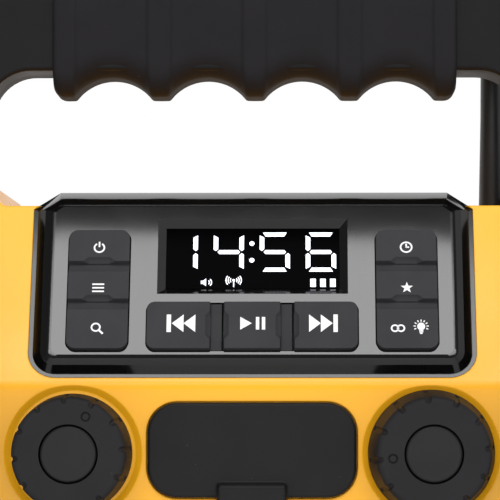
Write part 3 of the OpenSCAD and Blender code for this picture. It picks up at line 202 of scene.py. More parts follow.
def eased(node, ease, finish, segments=2, angle=32, reshape=None, sharp=35):
    """A copy of a piece with its edges eased, and reshaped first where CAD leaves it plain.

    The ease is in millimetres and both angles are in degrees."""
    mesh = frame["nodes"][node].data.copy()
    bm = bmesh.new()
    bm.from_mesh(mesh)
    bmesh.ops.remove_doubles(bm, verts=bm.verts, dist=WELD * MM)
    if reshape:
        reshape(bm)
        bm.normal_update()
    bmesh.ops.dissolve_limit(bm, angle_limit=math.radians(FLAT_ANGLE),
                             verts=bm.verts, edges=bm.edges)
    bm.to_mesh(mesh)
    bm.free()
    mesh.materials.clear()
    mesh.materials.append(finish)
    piece = bpy.data.objects.new(node + "_eased", mesh)
    bpy.context.scene.collection.objects.link(piece)
    if ease > 0:
        bevel = piece.modifiers.new("ease", "BEVEL")
        bevel.width = ease * MM
        bevel.segments = segments
        bevel.limit_method = "ANGLE"
        bevel.angle_limit = math.radians(angle)
        bevel.use_clamp_overlap = False
        bevel.miter_outer = "MITER_ARC"
    smooth(piece, sharp)
    weigh = piece.modifiers.new("flats", "WEIGHTED_NORMAL")
    weigh.keep_sharp = True
    weigh.weight = 90
    settle(piece)
    if ease > 0:
        low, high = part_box(node)
        for vert in piece.data.vertices:
            vert.co = [min(max(c, a), b) for c, a, b in zip(vert.co, low, high)]
    body = frame["nodes"][node]["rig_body"]
    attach(piece, body)
    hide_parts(node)
    return piece


# ------------------------------------------------------------------ node trees

def new_rule(name, sizes, kinds=()):
    """A geometry tree with a mesh in and out and named inputs. Returns the tree and its ends."""
    rule = bpy.data.node_groups.new(name, "GeometryNodeTree")
    rule.interface.new_socket("Mesh", in_out="INPUT", socket_type="NodeSocketGeometry")
    for size in sizes:
        rule.interface.new_socket(size, in_out="INPUT", socket_type="NodeSocketFloat")
    for label, kind in kinds:
        rule.interface.new_socket(label, in_out="INPUT", socket_type=kind)
    rule.interface.new_socket("Mesh", in_out="OUTPUT", socket_type="NodeSocketGeometry")
    return rule, rule.nodes.new("NodeGroupInput").outputs, rule.nodes.new("NodeGroupOutput").inputs


def apply_rule(piece, rule, values):
    """Runs a geometry tree on a piece with its inputs set, and keeps the plain mesh."""
    modifier = piece.modifiers.new(rule.name, "NODES")
    modifier.node_group = rule
    for socket in rule.interface.items_tree:
        if socket.in_out == "INPUT" and socket.name in values:
            modifier[socket.identifier] = values[socket.name]
    return settle(piece)


# ------------------------------------------------------------------ materials

def hex_colour(code):
    """sRGB hex to the linear colour that a shader takes."""
    parts = [int(code[i:i + 2], 16) / 255 for i in (1, 3, 5)]
    linear = [c / 12.92 if c <= 0.04045 else ((c + 0.055) / 1.055) ** 2.4 for c in parts]
    return (*linear, 1.0)


def add(tree, kind, inputs=None, **settings):
    """Adds a node to a tree with its settings, and its values or links."""
    node = tree.nodes.new(kind)
    for key, value in settings.items():
        setattr(node, key, value)
    for key, value in (inputs or {}).items():
        if isinstance(value, bpy.types.NodeSocket):
            tree.links.new(value, node.inputs[key])
        else:
            node.inputs[key].default_value = value
    return node


def finish_of(name, colour, roughness, **constants):
    """A material with one principled shader. Returns the material, its tree and the shader."""
    material = bpy.data.materials.new(name)
    material.use_nodes = True
    tree = material.node_tree
    shader = tree.nodes["Principled BSDF"]
    shader.inputs["Base Color"].default_value = hex_colour(colour)
    shader.inputs["Roughness"].default_value = roughness
    for key, value in constants.items():
        shader.inputs[key.replace("_", " ")].default_value = value
    material.diffuse_color = hex_colour(colour)
    return material, tree, shader


def per_mm(size):
    """Texture scale at which one feature measures that many millimetres."""
    return 1000.0 / size


def place_of(tree):
    """The place on the piece that a texture follows, so that it moves with it."""
    return add(tree, "ShaderNodeTexCoord").outputs["Object"]


def grain(tree, shader, size, depth, strength=1.0, detail=3.0, edge=0.0):
    """Moulded grain: bumps of a real size and depth over rounded edges, all in millimetres."""
    noise = add(tree, "ShaderNodeTexNoise",
                {"Vector": place_of(tree), "Scale": per_mm(size), "Detail": detail,
                 "Roughness": 0.6})
    bump = add(tree, "ShaderNodeBump",
               {"Height": noise.outputs["Fac"], "Distance": depth * MM, "Strength": strength})
    if edge:
        round_over = add(tree, "ShaderNodeBevel", {"Radius": edge * MM}, samples=6)
        tree.links.new(round_over.outputs["Normal"], bump.inputs["Normal"])
    tree.links.new(bump.outputs["Normal"], shader.inputs["Normal"])


def uneven_gloss(tree, shader, low, high, size):
    """Gloss that varies softly, as handling and the mould leave it."""
    noise = add(tree, "ShaderNodeTexNoise",
                {"Vector": place_of(tree), "Scale": per_mm(size), "Detail": 4.0})
    spread = add(tree, "ShaderNodeMapRange",
                 {"Value": noise.outputs["Fac"], "From Min": 0.3, "From Max": 0.7,
                  "To Min": low, "To Max": high})
    tree.links.new(spread.outputs["Result"], shader.inputs["Roughness"])


def dusted(tree, shader, colour, dust, speck_size, amount):
    """Pale specks of dust that cling to a rubber or matt surface."""
    specks = add(tree, "ShaderNodeTexVoronoi",
                 {"Vector": place_of(tree), "Scale": per_mm(speck_size)}, feature="F1")
    near = add(tree, "ShaderNodeMapRange",
               {"Value": specks.outputs["Distance"], "From Min": 0.03, "From Max": 0.09,
                "To Min": 1.0, "To Max": 0.0})
    rare = add(tree, "ShaderNodeMath",
               {0: add(tree, "ShaderNodeSeparateColor",
                       {"Color": specks.outputs["Color"]}).outputs["Red"], 1: 1.0 - amount},
               operation="GREATER_THAN")
    share = add(tree, "ShaderNodeMath", {0: near.outputs["Result"], 1: rare.outputs[0]},
                operation="MULTIPLY")
    # Soft clouds where it is handled, up to 1.8 times as bright
    clouds = add(tree, "ShaderNodeTexNoise",
                 {"Vector": place_of(tree), "Scale": per_mm(9.0), "Detail": 5.0})
    shade = add(tree, "ShaderNodeMapRange",
                {"Value": clouds.outputs["Fac"], "From Min": 0.35, "From Max": 0.7,
                 "To Min": 0.0, "To Max": 0.22})
    base = add(tree, "ShaderNodeMix",
               {"Factor": shade.outputs["Result"], 6: hex_colour(colour),
                7: tuple(min(1, c * 1.8) for c in hex_colour(colour)[:3]) + (1,)},
               data_type="RGBA")
    mixed = add(tree, "ShaderNodeMix",
                {"Factor": share.outputs[0], 6: base.outputs[2], 7: hex_colour(dust)},
                data_type="RGBA")
    tree.links.new(mixed.outputs[2], shader.inputs["Base Color"])


def abs_housing():
    # ABS, injection moulded: a soft, even gloss with a faint orange peel
    material, tree, shader = finish_of(
        "moulded_abs_yellow", "#FBB31E", 0.3, IOR=1.54, Specular_IOR_Level=0.32)
    grain(tree, shader, size=1.6, depth=0.004, strength=0.25, edge=0.6)
    uneven_gloss(tree, shader, low=0.26, high=0.34, size=18)
    return material


def pp_cage():
    # Polypropylene with glass fibre, moulded with a fine spark-eroded grain: black, low sheen
    material, tree, shader = finish_of(
        "grained_pp_black", "#121113", 0.52, IOR=1.49, Specular_IOR_Level=0.22)
    grain(tree, shader, size=0.5, depth=0.02, strength=0.5, edge=1.0)
    uneven_gloss(tree, shader, low=0.44, high=0.58, size=14)
    return material


def tpr_grip():
    # Thermoplastic rubber, overmoulded: soft and matt, holding a little dust
    material, tree, shader = finish_of(
        "moulded_tpr_grip", "#181719", 0.66, IOR=1.5, Specular_IOR_Level=0.2)
    dusted(tree, shader, "#19171A", "#8C8A8C", speck_size=1.4, amount=0.02)
    grain(tree, shader, size=0.45, depth=0.015, strength=0.5)
    return material


def polished_bezel():
    # ABS and polycarbonate, moulded in a polished tool: deep black with clear reflections
    material, tree, shader = finish_of(
        "polished_abs_black", "#070707", 0.1, IOR=1.5, Specular_IOR_Level=0.42)
    grain(tree, shader, size=1.6, depth=0.001, strength=0.2, edge=0.25)
    uneven_gloss(tree, shader, low=0.09, high=0.13, size=12)
    return material


def satin_face():
    # The same black plastic on the flat face between the keys: smooth, with a very fine grain
    material, tree, shader = finish_of("satin_abs_face", "#0C0C0E", 0.08, IOR=1.5)
    grain(tree, shader, size=0.25, depth=0.002, strength=0.2)
    uneven_gloss(tree, shader, low=0.045, high=0.055, size=10)
    return material


def smoked_window():
    # Smoked acrylic window with an anti-glare coat: near black until the display shines through
    material, tree, shader = finish_of(
        "coated_acrylic_window", "#020203", 0.04, IOR=1.49, Specular_IOR_Level=0.004)
    uneven_gloss(tree, shader, low=0.03, high=0.06, size=15)
    return material


def lit_segment():
    # Backlit liquid-crystal segment: even cold white light
    material, tree, shader = finish_of("lit_display_segment", "#F4F7FF", 0.5)
    shader.inputs["Emission Color"].default_value = hex_colour("#F3F6FF")
    shader.inputs["Emission Strength"].default_value = 1.0
    shimmer = add(tree, "ShaderNodeTexNoise", {"Vector": place_of(tree), "Scale": per_mm(2.0)})
    spread = add(tree, "ShaderNodeMapRange",
                 {"Value": shimmer.outputs["Fac"], "To Min": 0.45, "To Max": 0.55})
    tree.links.new(spread.outputs["Result"], shader.inputs["Roughness"])
    return material


def silicone_key():
    # Silicone rubber keys, moulded: satin with a soft edge sheen
    material, tree, shader = finish_of(
        "moulded_silicone_key", "#302F32", 0.6, IOR=1.43, Specular_IOR_Level=0.3)
    dusted(tree, shader, "#302F32", "#87878A", speck_size=1.2, amount=0.015)
    grain(tree, shader, size=0.3, depth=0.008, strength=0.4, edge=0.25)
    return material


def pad_print():
    # Pad-printed ink: opaque white, a little matt
    material, tree, shader = finish_of("pad_printed_white", "#EDEDEE", 0.5)
    uneven_gloss(tree, shader, low=0.42, high=0.6, size=1.5)
    return material


def knob_rubber():
    # Overmoulded rubber on the knobs: matt, dusty in its grain
    material, tree, shader = finish_of(
        "moulded_rubber_knob", "#1D1C1E", 0.62, IOR=1.5, Specular_IOR_Level=0.25)
    dusted(tree, shader, "#1D1C1E", "#7E7D80", speck_size=1.1, amount=0.02)
    grain(tree, shader, size=0.4, depth=0.015, strength=0.5, edge=0.2)
    return material


def knob_core():
    # Moulded plastic cap in the knob: fine grain, slightly darker than the rubber
    material, tree, shader = finish_of(
        "grained_abs_cap", "#1B1A1C", 0.5, IOR=1.54, Specular_IOR_Level=0.25)
    dusted(tree, shader, "#1B1A1C", "#77777A", speck_size=1.2, amount=0.015)
    grain(tree, shader, size=0.35, depth=0.01, strength=0.5)
    return material


def epdm_cover():
    # Moulded rubber cover: satin black with specks and faint rub marks
    material, tree, shader = finish_of(
        "moulded_rubber_cover", "#161517", 0.5, IOR=1.5, Specular_IOR_Level=0.22)
    dusted(tree, shader, "#171618", "#9A999C", speck_size=1.0, amount=0.055)
    grain(tree, shader, size=0.5, depth=0.01, strength=0.4)
    return material


def whip_rubber():
    # Moulded rubber sheath of the whip antenna: satin black
    material, tree, shader = finish_of("moulded_rubber_whip", "#1D1D1F", 0.4, IOR=1.5)
    grain(tree, shader, size=0.6, depth=0.01, strength=0.4)
    uneven_gloss(tree, shader, low=0.34, high=0.46, size=8)
    return material


def foot_rubber():
    # Nitrile rubber feet: dull black
    material, tree, shader = finish_of("moulded_rubber_foot", "#1B1B1C", 0.7, IOR=1.52)
    grain(tree, shader, size=0.6, depth=0.02, strength=0.6)
    return material


def powder_coat():
    # Powder coat on pressed steel: black, fine pebbled texture
    material, tree, shader = finish_of("powder_coated_steel", "#1C1C1E", 0.42, IOR=1.5)
    grain(tree, shader, size=0.35, depth=0.015, strength=0.7)
    uneven_gloss(tree, shader, low=0.36, high=0.5, size=6)
    return material


def zinc_screw():
    # Zinc-plated steel screws: bright grey, finely turned
    material, tree, shader = finish_of("zinc_plated_steel", "#A9ABAE", 0.32, Metallic=1.0)
    grain(tree, shader, size=0.2, depth=0.004, strength=0.5)
    uneven_gloss(tree, shader, low=0.26, high=0.42, size=2)
    return material


def nickel_plate():
    # Nickel plate on pressed and turned parts
    material, tree, shader = finish_of("nickel_plated_steel", "#C9C5BC", 0.22, Metallic=1.0)
    uneven_gloss(tree, shader, low=0.18, high=0.3, size=3)
    return material


def board_mask():
    # Glass-epoxy board under green solder mask
    material, tree, shader = finish_of("solder_mask_green", "#1F5B3A", 0.35, IOR=1.55)
    grain(tree, shader, size=0.8, depth=0.01, strength=0.4)
    return material


def inner_plastic():
    # Black ABS of the inner mouldings: fine grain
    material, tree, shader = finish_of("grained_abs_black", "#1A1A1C", 0.5, IOR=1.54)
    grain(tree, shader, size=0.4, depth=0.015, strength=0.6)
    return material


def paper_cone():
    # Pressed paper pulp cone, coated black: fibrous and dull
    material, tree, shader = finish_of("pressed_pulp_cone", "#232326", 0.75)
    grain(tree, shader, size=0.5, depth=0.04, strength=0.8, detail=6.0)
    return material


def butyl_surround():
    # Butyl rubber surround: soft black
    material, tree, shader = finish_of("butyl_rubber_surround", "#171718", 0.5, IOR=1.52)
    grain(tree, shader, size=0.7, depth=0.01, strength=0.4)
    return material


def ferrite():
    # Sintered ferrite magnet: dark grey and stony
    material, tree, shader = finish_of("sintered_ferrite", "#4A4B4E", 0.6)
    grain(tree, shader, size=0.5, depth=0.03, strength=0.8)
    return material


def extruded_aluminium():
    # Extruded aluminium heat sink: bright, drawn along its fins
    material, tree, shader = finish_of("extruded_aluminium", "#C6C8CA", 0.35, Metallic=1.0)
    grain(tree, shader, size=0.3, depth=0.01, strength=0.5)
    return material


def cell_sleeve():
    # Shrink sleeve on the cells: glossy plain blue
    material, tree, shader = finish_of("shrunk_pvc_sleeve", "#2F6C93", 0.25, IOR=1.54)
    grain(tree, shader, size=2.5, depth=0.01, strength=0.3)
    return material


ABS_YELLOW = abs_housing()
PP_BLACK = pp_cage()
TPR_GRIP = tpr_grip()
BEZEL_GLOSS = polished_bezel()
BEZEL_SATIN = satin_face()
WINDOW = smoked_window()
SEGMENT = lit_segment()
KEY_SILICONE = silicone_key()
WHITE_PRINT = pad_print()
KNOB_RUBBER = knob_rubber()
KNOB_CORE = knob_core()
COVER_RUBBER = epdm_cover()
WHIP_RUBBER = whip_rubber()
FOOT_RUBBER = foot_rubber()
POWDER_COAT = powder_coat()
ZINC = zinc_screw()
NICKEL = nickel_plate()
BOARD = board_mask()
INNER = inner_plastic()
PULP = paper_cone()
BUTYL = butyl_surround()
FERRITE = ferrite()
ALUMINIUM = extruded_aluminium()
SLEEVE = cell_sleeve()


# ------------------------------------------------------------------ housing and cage

def dress(finish, *nodes):
    """Gives CAD pieces that keep their shape their material."""
    for node in nodes:
        mesh = frame["nodes"][node].data
        mesh.materials.clear()
        mesh.materials.append(finish)


def housing():
    """The yellow shells and door, the black cage and bar, the feet, the seal and the latch."""
    dress(ABS_YELLOW, "front_shell", "rear_shell", "battery_door")
    for node in ("left_side_frame", "right_side_frame"):
        eased(node, 0, PP_BLACK)
    eased("handle_bar", 1.2, PP_BLACK, segments=3)
    eased("feet", 0.6, FOOT_RUBBER)
    eased("case_seal", 0, BUTYL)
    eased("door_latch", 0.15, INNER)


def knobs():
    """Both knobs, whose edges are rounded in the shading, and their caps."""
    for side in ("volume", "tuning"):
        eased(side + "_knob", 0, KNOB_RUBBER)
        eased(side + "_cap", 0.3, KNOB_CORE)


def socket_bay():
    """The rubber cover over the sockets."""
    eased("socket_cover", 0.7, COVER_RUBBER, segments=3)


def bezel():
    """The bezel with its flat lip, its crowned brow, its polished bevel and its satin face."""
    foot = on_panel(0, 0, 0)
    out_way = (on_panel(0, 0, 1) - foot).normalized()
    up_way = (on_panel(0, 1, 0) - foot).normalized()

    def crown(bm):
        """Leans the lip along the top back over the housing, and straightens the bevel under it."""
        for vert in bm.verts:
            up, out = (vert.co - foot).dot(up_way) / MM, (vert.co - foot).dot(out_way) / MM
            # The lip's front edge goes up to the brow, its back edge down to the housing's top
            if up > BEZEL_H - NEAR:
                vert.co.y += BROW_DEPTH * MM
                vert.co.z = (BROW_Z if out > -1 else HOUSING_TOP) * MM
            elif up > BEZEL_H - LIP_W - NEAR and out < NEAR:
                vert.co -= up_way * BROW_DROP * MM
            elif up > BEZEL_H - LIP_W - BEVEL_W + NEAR and out > NEAR:
                past_face = up - (BEZEL_H - LIP_W - BEVEL_W)
                vert.co -= out_way * (out - FACE_OUT * (1 - past_face / (BEVEL_W - BROW_DROP))) * MM

    piece = eased("control_bezel", 0, BEZEL_GLOSS, reshape=crown, sharp=14)
    piece.data.materials.append(BEZEL_SATIN)
    for face in piece.data.polygons:
        on_top = (face.center - foot).dot(out_way) > (FACE_OUT - 0.02) * MM
        if on_top and face.normal.dot(out_way) > 0.99:
            face.material_index = 1
    eased("display_lens", 0.1, WINDOW)


def keys():
    """The nine keys, whose edges are rounded in the shading."""
    for key in ("power", "mode", "scan", "clock", "preset", "light", "previous", "play", "next"):
        eased(key + "_key", 0, KEY_SILICONE)


# ------------------------------------------------------------------ handle grip

def from_finger(x):
    """Distance from x to the middle of the nearest finger."""
    return min(abs(x - (i - (FINGERS - 1) / 2) * FINGER_PITCH) for i in range(FINGERS))


def finger_lift(x):
    """How far a finger scallop lifts the grip's underside at x, with a small round at its edge."""
    nearest = from_finger(x)
    if nearest >= FINGER_R:
        return 0.0
    cut = FINGER_DEPTH - FINGER_R + math.sqrt(FINGER_R ** 2 - nearest ** 2)
    return (cut + math.sqrt(cut * cut + FINGER_SOFT)) / 2 if cut > FINGER_FADE else 0.0


def field_share(x):
    """From 0 on a raised land to 1 in the field above a finger, with a sloping wall between."""
    t = ((FINGER_PITCH - GRIP_LAND_W) / 2 - from_finger(x)) / GRIP_LAND_SLOPE
    return 0.0 if t < 0 else 1.0 if t > 1 else t * t * (3 - 2 * t)


def grip_section(half_d, z_low, z_high, r_low, r_high):
    """The grip's outline across the bar as (y, z), with a set number of points."""
    points = []
    corners = [(-half_d + r_low, z_low + r_low, r_low, 180, GRIP_LOW_STEPS),
               (half_d - r_low, z_low + r_low, r_low, 270, GRIP_LOW_STEPS),
               (half_d - r_high, z_high - r_high, r_high, 0, GRIP_HIGH_STEPS),
               (-half_d + r_high, z_high - r_high, r_high, 90, GRIP_HIGH_STEPS)]
    for k, (y, z, r, start, steps) in enumerate(corners):
        points += [round_point(y, z, r, start + 90 * i / steps) for i in range(steps + 1)]
        (y0, z0), (y1, z1) = points[-1], round_point(*corners[(k + 1) % 4][:4])
        points += [(y0 + (y1 - y0) * i / GRIP_FLAT_STEPS, z0 + (z1 - z0) * i / GRIP_FLAT_STEPS)
                   for i in range(1, GRIP_FLAT_STEPS)]
    return points


def grip():
    """Overmoulded grip: a rounded sleeve with finger scallops, raised lands and shallow fields."""
    low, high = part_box("handle_grip")
    half_len, z_low, z_high = high.x / MM, low.z / MM, high.z / MM
    y_mid, half_d = (low.y + high.y) / 2 / MM, (high.y - low.y) / 2 / MM
    ends = [half_len - GRIP_END_R * (1 - math.cos(math.radians(turn))) for turn in GRIP_END_TURNS]
    inner = [i * GRIP_STEP for i in range(int((half_len - GRIP_END_R) / GRIP_STEP) + 1)]
    stations = sorted(set(round(x, 4) for x in ends + inner + [-x for x in ends + inner]))
    points, faces = [], []
    for x in stations:
        from_end = half_len - abs(x)
        crop, ease = [r - math.sqrt(max(0.0, r ** 2 - max(0.0, r - from_end) ** 2))
                      for r in (GRIP_END_R, GRIP_END_EASE)]
        depth = half_d - ease - GRIP_FIELD * field_share(x)
        # The underside is rounded fully toward the ends, and the top half as much
        outline = grip_section(depth, z_low + finger_lift(x) + crop, z_high - max(crop * 0.5, ease),
                               GRIP_LOW_R - ease, GRIP_HIGH_R - ease)
        points += [at(x, y_mid + y, z) for y, z in outline]
    n = len(outline)
    for i in range(len(stations) - 1):
        faces += [(i * n + j, i * n + (j + 1) % n, (i + 1) * n + (j + 1) % n, (i + 1) * n + j)
                  for j in range(n)]
    faces += [tuple(reversed(range(n))), tuple((len(stations) - 1) * n + j for j in range(n))]
    piece = make_piece("grip_sleeve", points, faces, [TPR_GRIP], None)
    outward(piece)
    smooth(piece, 40)
    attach(piece, "chassis")
    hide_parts("handle_grip")


# ------------------------------------------------------------------ prints and display

def plate(outlines, out, thick, name, finish, body):
    """Flat shapes laid on the panel, as thin closed plates. An outline is a list of (x, up)."""
    points, faces = [], []
    for outline in outlines:
        area = sum(a[0] * b[1] - b[0] * a[1] for a, b in zip(outline, outline[1:] + outline[:1]))
        ring = outline if area > 0 else outline[::-1]
        n = len(ring)
        first = len(points)
        points += [on_panel(x, up, out + lift) for lift in (0, thick) for x, up in ring]
        faces.append(tuple(first + i for i in reversed(range(n))))
        faces.append(tuple(first + n + i for i in range(n)))
        faces += [(first + i, first + (i + 1) % n, first + n + (i + 1) % n, first + n + i)
                  for i in range(n)]
    return make_piece(name, points, faces, [finish], body)


def moved(outlines, x, up):
    """Outlines shifted to their place on the panel."""
    return [[(x + px, up + py) for px, py in outline] for outline in outlines]


def bar(x0, y0, x1, y1, width):
    """A straight stroke with square ends."""
    length = math.hypot(x1 - x0, y1 - y0)
    nx, ny = -(y1 - y0) / length * width / 2, (x1 - x0) / length * width / 2
    return [(x0 - nx, y0 - ny), (x1 - nx, y1 - ny), (x1 + nx, y1 + ny), (x0 + nx, y0 + ny)]


def arc(cx, cy, r, start, stop, width, steps=28):
    """A curved stroke of even width, as one outline."""
    turns = [start + (stop - start) * i / steps for i in range(steps + 1)]
    return ([round_point(cx, cy, r + width / 2, turn) for turn in turns]
            + [round_point(cx, cy, r - width / 2, turn) for turn in reversed(turns)])


def ring(cx, cy, r, width):
    """A whole ring, as two halves."""
    return [arc(cx, cy, r, 0, 180, width), arc(cx, cy, r, 180, 360, width)]


STROKE = 0.42
PRINT_THICK = 0.05
LINK_LEFT, BULB_RIGHT = 2.4, 3.4


def power_sign():
    return [arc(0, -0.1, 1.25, 120, 420, STROKE), bar(0, 0.1, 0, 1.6, STROKE)]


def menu_sign():
    return [bar(-1.5, y, 1.5, y, STROKE) for y in (-1.0, 0, 1.0)]


def scan_sign():
    return ring(-0.3, 0.3, 1.05, STROKE) + [bar(0.5, -0.5, 1.5, -1.5, STROKE * 1.2)]


def clock_sign():
    return ring(0, 0, 1.4, STROKE) + [bar(0, -0.1, 0, 1.0, STROKE), bar(-0.1, 0, 0.75, 0, STROKE)]


def star_sign():
    return [[round_point(0, 0, 1.6 * (1 if i % 2 == 0 else 0.42), 90 + 36 * i) for i in range(10)]]


def link_sign():
    return ring(-0.75, 0, 0.85, STROKE) + ring(0.75, 0, 0.85, STROKE)


def bulb_sign():
    """A lamp bulb with rays."""
    glass = [(math.cos(math.radians(a)), 0.5 + 1.05 * math.sin(math.radians(a)))
             for a in range(-60, 241, 12)]
    rays = [bar(*round_point(0, 0.5, 1.35, a), *round_point(0, 0.5, 1.9, a), 0.28)
            for a in (-24, 4, 33, 62, 90, 118, 147, 176, 204)]
    base = [bar(-0.52, -0.62, 0.52, -0.62, 0.3), bar(-0.5, -1.02, 0.5, -1.02, 0.3),
            bar(-0.32, -1.42, 0.32, -1.42, 0.34)]
    return [glass] + rays + base


def triangle(x, half, width):
    """A solid arrow head; a negative width points it left."""
    return [(x, -half), (x + width, 0), (x, half)]


def previous_sign():
    return [bar(-3.25, -2.45, -3.25, 2.45, 1.1),
            triangle(0.45, 2.45, -2.95), triangle(3.4, 2.45, -2.95)]


def next_sign():
    return [[(-x, y) for x, y in outline] for outline in previous_sign()]


def play_sign():
    return [triangle(-3.0, 1.8, 2.9)] + [bar(x, -1.75, x, 1.75, 0.85) for x in (1.35, 2.85)]


def legends():
    """White pictograms printed on the nine keys."""
    low, middle, high = STACK_UPS
    signs = {
        "power_key": moved(power_sign(), -STACK_X, high),
        "mode_key": moved(menu_sign(), -STACK_X, middle),
        "scan_key": moved(scan_sign(), -STACK_X, low),
        "clock_key": moved(clock_sign(), STACK_X, high),
        "preset_key": moved(star_sign(), STACK_X, middle),
        "light_key": (moved(link_sign(), STACK_X - LINK_LEFT, low)
                      + moved(bulb_sign(), STACK_X + BULB_RIGHT, low)),
        "previous_key": moved(previous_sign(), -ROW_PITCH, ROW_UP),
        "play_key": moved(play_sign(), 0, ROW_UP),
        "next_key": moved(next_sign(), ROW_PITCH, ROW_UP),
    }
    for key, sign in signs.items():
        plate(sign, KEY_OUT, PRINT_THICK, key + "_print", WHITE_PRINT, key)


# The clock's digits and signs
DIGIT_W, DIGIT_H, DIGIT_PITCH = 7.7, 11.2, 11.72
DIGIT_LEFT, DIGIT_UP = -21.7, 29.05
SEGMENT_W, SEGMENT_T, SEGMENT_GAP, SEGMENT_THICK = 1.15, 1.12, 0.32, 0.03
CUT, INNER_CUT = 0.5, 0.4
LIT = {"1": "bc", "4": "bcfg", "5": "acdfg", "6": "acdefg"}
DOT_X, DOT_UPS, DOT_R = -0.25, (32.3, 37.1), 0.65
SPEAKER_AT = (-11.6, 26.0)
MAST_AT = (-4.8, 25.9)
CHARGE_LEFTS, CHARGE_W = (14.6, 17.1, 19.6), 1.4
CHARGE_LOW, CHARGE_HIGH = 24.7, 27.0


def segments_of(digit):
    """The lit segments of one clock digit, each a bar with cut ends."""
    w, h, v, t, g = DIGIT_W, DIGIT_H, SEGMENT_W, SEGMENT_T, SEGMENT_GAP
    mid = h / 2
    top = [(g + CUT, h), (w - g - CUT, h), (w - v - g, h - t), (v + g, h - t)]
    side = [(0, h - g - CUT), (v, h - t - g), (v, mid + t / 2 + g), (v * 0.5, mid + g),
            (0, mid + g + INNER_CUT)]
    across = [(v * 0.6 + g, mid), (v + g, mid + t / 2), (w - v - g, mid + t / 2),
              (w - v * 0.6 - g, mid), (w - v - g, mid - t / 2), (v + g, mid - t / 2)]

    def low(outline):
        return [(x, h - y) for x, y in outline]

    def right(outline):
        return [(w - x, y) for x, y in outline]

    shapes = {"a": top, "b": right(side), "c": right(low(side)), "d": low(top), "e": low(side),
              "f": side, "g": across}
    return [shapes[name] for name in LIT[digit]]


def speaker_sign():
    """A small loudspeaker with two waves."""
    return [[(-1.5, -0.45), (-0.9, -0.45), (-0.2, -1.1), (-0.2, 1.1), (-0.9, 0.45), (-1.5, 0.45)],
            arc(-0.1, 0, 0.75, -45, 45, 0.24, 8), arc(-0.1, 0, 1.3, -45, 45, 0.24, 10)]


def mast_sign():
    """A radio mast between its waves."""
    shapes = [bar(0, -1.2, 0, 0.5, 0.26), [round_point(0, 0.7, 0.35, 36 * i) for i in range(10)]]
    for r in (0.85, 1.4, 1.95):
        shapes += [arc(0, 0.7, r, -38, 38, 0.24, 8), arc(0, 0.7, r, 142, 218, 0.24, 8)]
    return shapes


def display():
    """Lit digits, signs and battery bars, just over the window."""
    shapes = []
    for place, digit in enumerate("1456"):
        shapes += moved(segments_of(digit), DIGIT_LEFT + place * DIGIT_PITCH, DIGIT_UP)
    shapes += [[round_point(DOT_X, up, DOT_R, 20 * i) for i in range(18)] for up in DOT_UPS]
    shapes += moved(speaker_sign(), *SPEAKER_AT)
    shapes += moved(mast_sign(), *MAST_AT)
    shapes += [[(x, CHARGE_LOW), (x + CHARGE_W, CHARGE_LOW),
                (x + CHARGE_W, CHARGE_HIGH), (x, CHARGE_HIGH)] for x in CHARGE_LEFTS]
    plate(shapes, LENS_OUT, SEGMENT_THICK, "lit_segments", SEGMENT, "chassis")


# ------------------------------------------------------------------ screws and grille

def screw_rule():
    """Sets a turned screw with a cross recess on every point, along the point's own way."""
    rule, given, made = new_rule(
        "cross_recess_screws", ["Recess Length", "Recess Width", "Recess Depth"],
        [("Turned Form", "NodeSocketObject"), ("Finish", "NodeSocketMaterial"),
         ("Seed", "NodeSocketInt")])
    form = add(rule, "GeometryNodeObjectInfo", {"Object": given["Turned Form"]})
    across = add(rule, "ShaderNodeCombineXYZ",
                 {0: given["Recess Length"], 1: given["Recess Width"], 2: given["Recess Depth"]})
    along = add(rule, "ShaderNodeCombineXYZ",
                {0: given["Recess Width"], 1: given["Recess Length"], 2: given["Recess Depth"]})
    cross = add(rule, "GeometryNodeMeshBoolean", operation="UNION", solver="EXACT")
    for size in (across, along):
        cutter = add(rule, "GeometryNodeMeshCube", {"Size": size.outputs[0]})
        rule.links.new(cutter.outputs["Mesh"], cross.inputs["Mesh 2"])
    screw = add(rule, "GeometryNodeMeshBoolean",
                {"Mesh 1": form.outputs["Geometry"], "Mesh 2": cross.outputs["Mesh"]},
                operation="DIFFERENCE", solver="EXACT")
    way = add(rule, "GeometryNodeInputNamedAttribute", {"Name": "way"}, data_type="FLOAT_VECTOR")
    facing = add(rule, "FunctionNodeAlignRotationToVector", {"Vector": way.outputs["Attribute"]},
                 axis="Z")
    turned = add(rule, "FunctionNodeRandomValue", {2: 0.0, 3: SCREW_TURN, "Seed": given["Seed"]},
                 data_type="FLOAT")
    spin = add(rule, "ShaderNodeCombineXYZ", {2: turned.outputs[1]})
    placed = add(rule, "GeometryNodeInstanceOnPoints",
                 {"Points": given["Mesh"], "Instance": screw.outputs["Mesh"],
                  "Rotation": facing.outputs["Rotation"]})
    spun = add(rule, "GeometryNodeRotateInstances",
               {"Instances": placed.outputs[0], "Rotation": spin.outputs[0]})
    whole = add(rule, "GeometryNodeRealizeInstances", {"Geometry": spun.outputs[0]})
    dressed = add(rule, "GeometryNodeSetMaterial",
                  {"Geometry": whole.outputs[0], "Material": given["Finish"]})
    rule.links.new(dressed.outputs[0], made["Mesh"])
    return rule


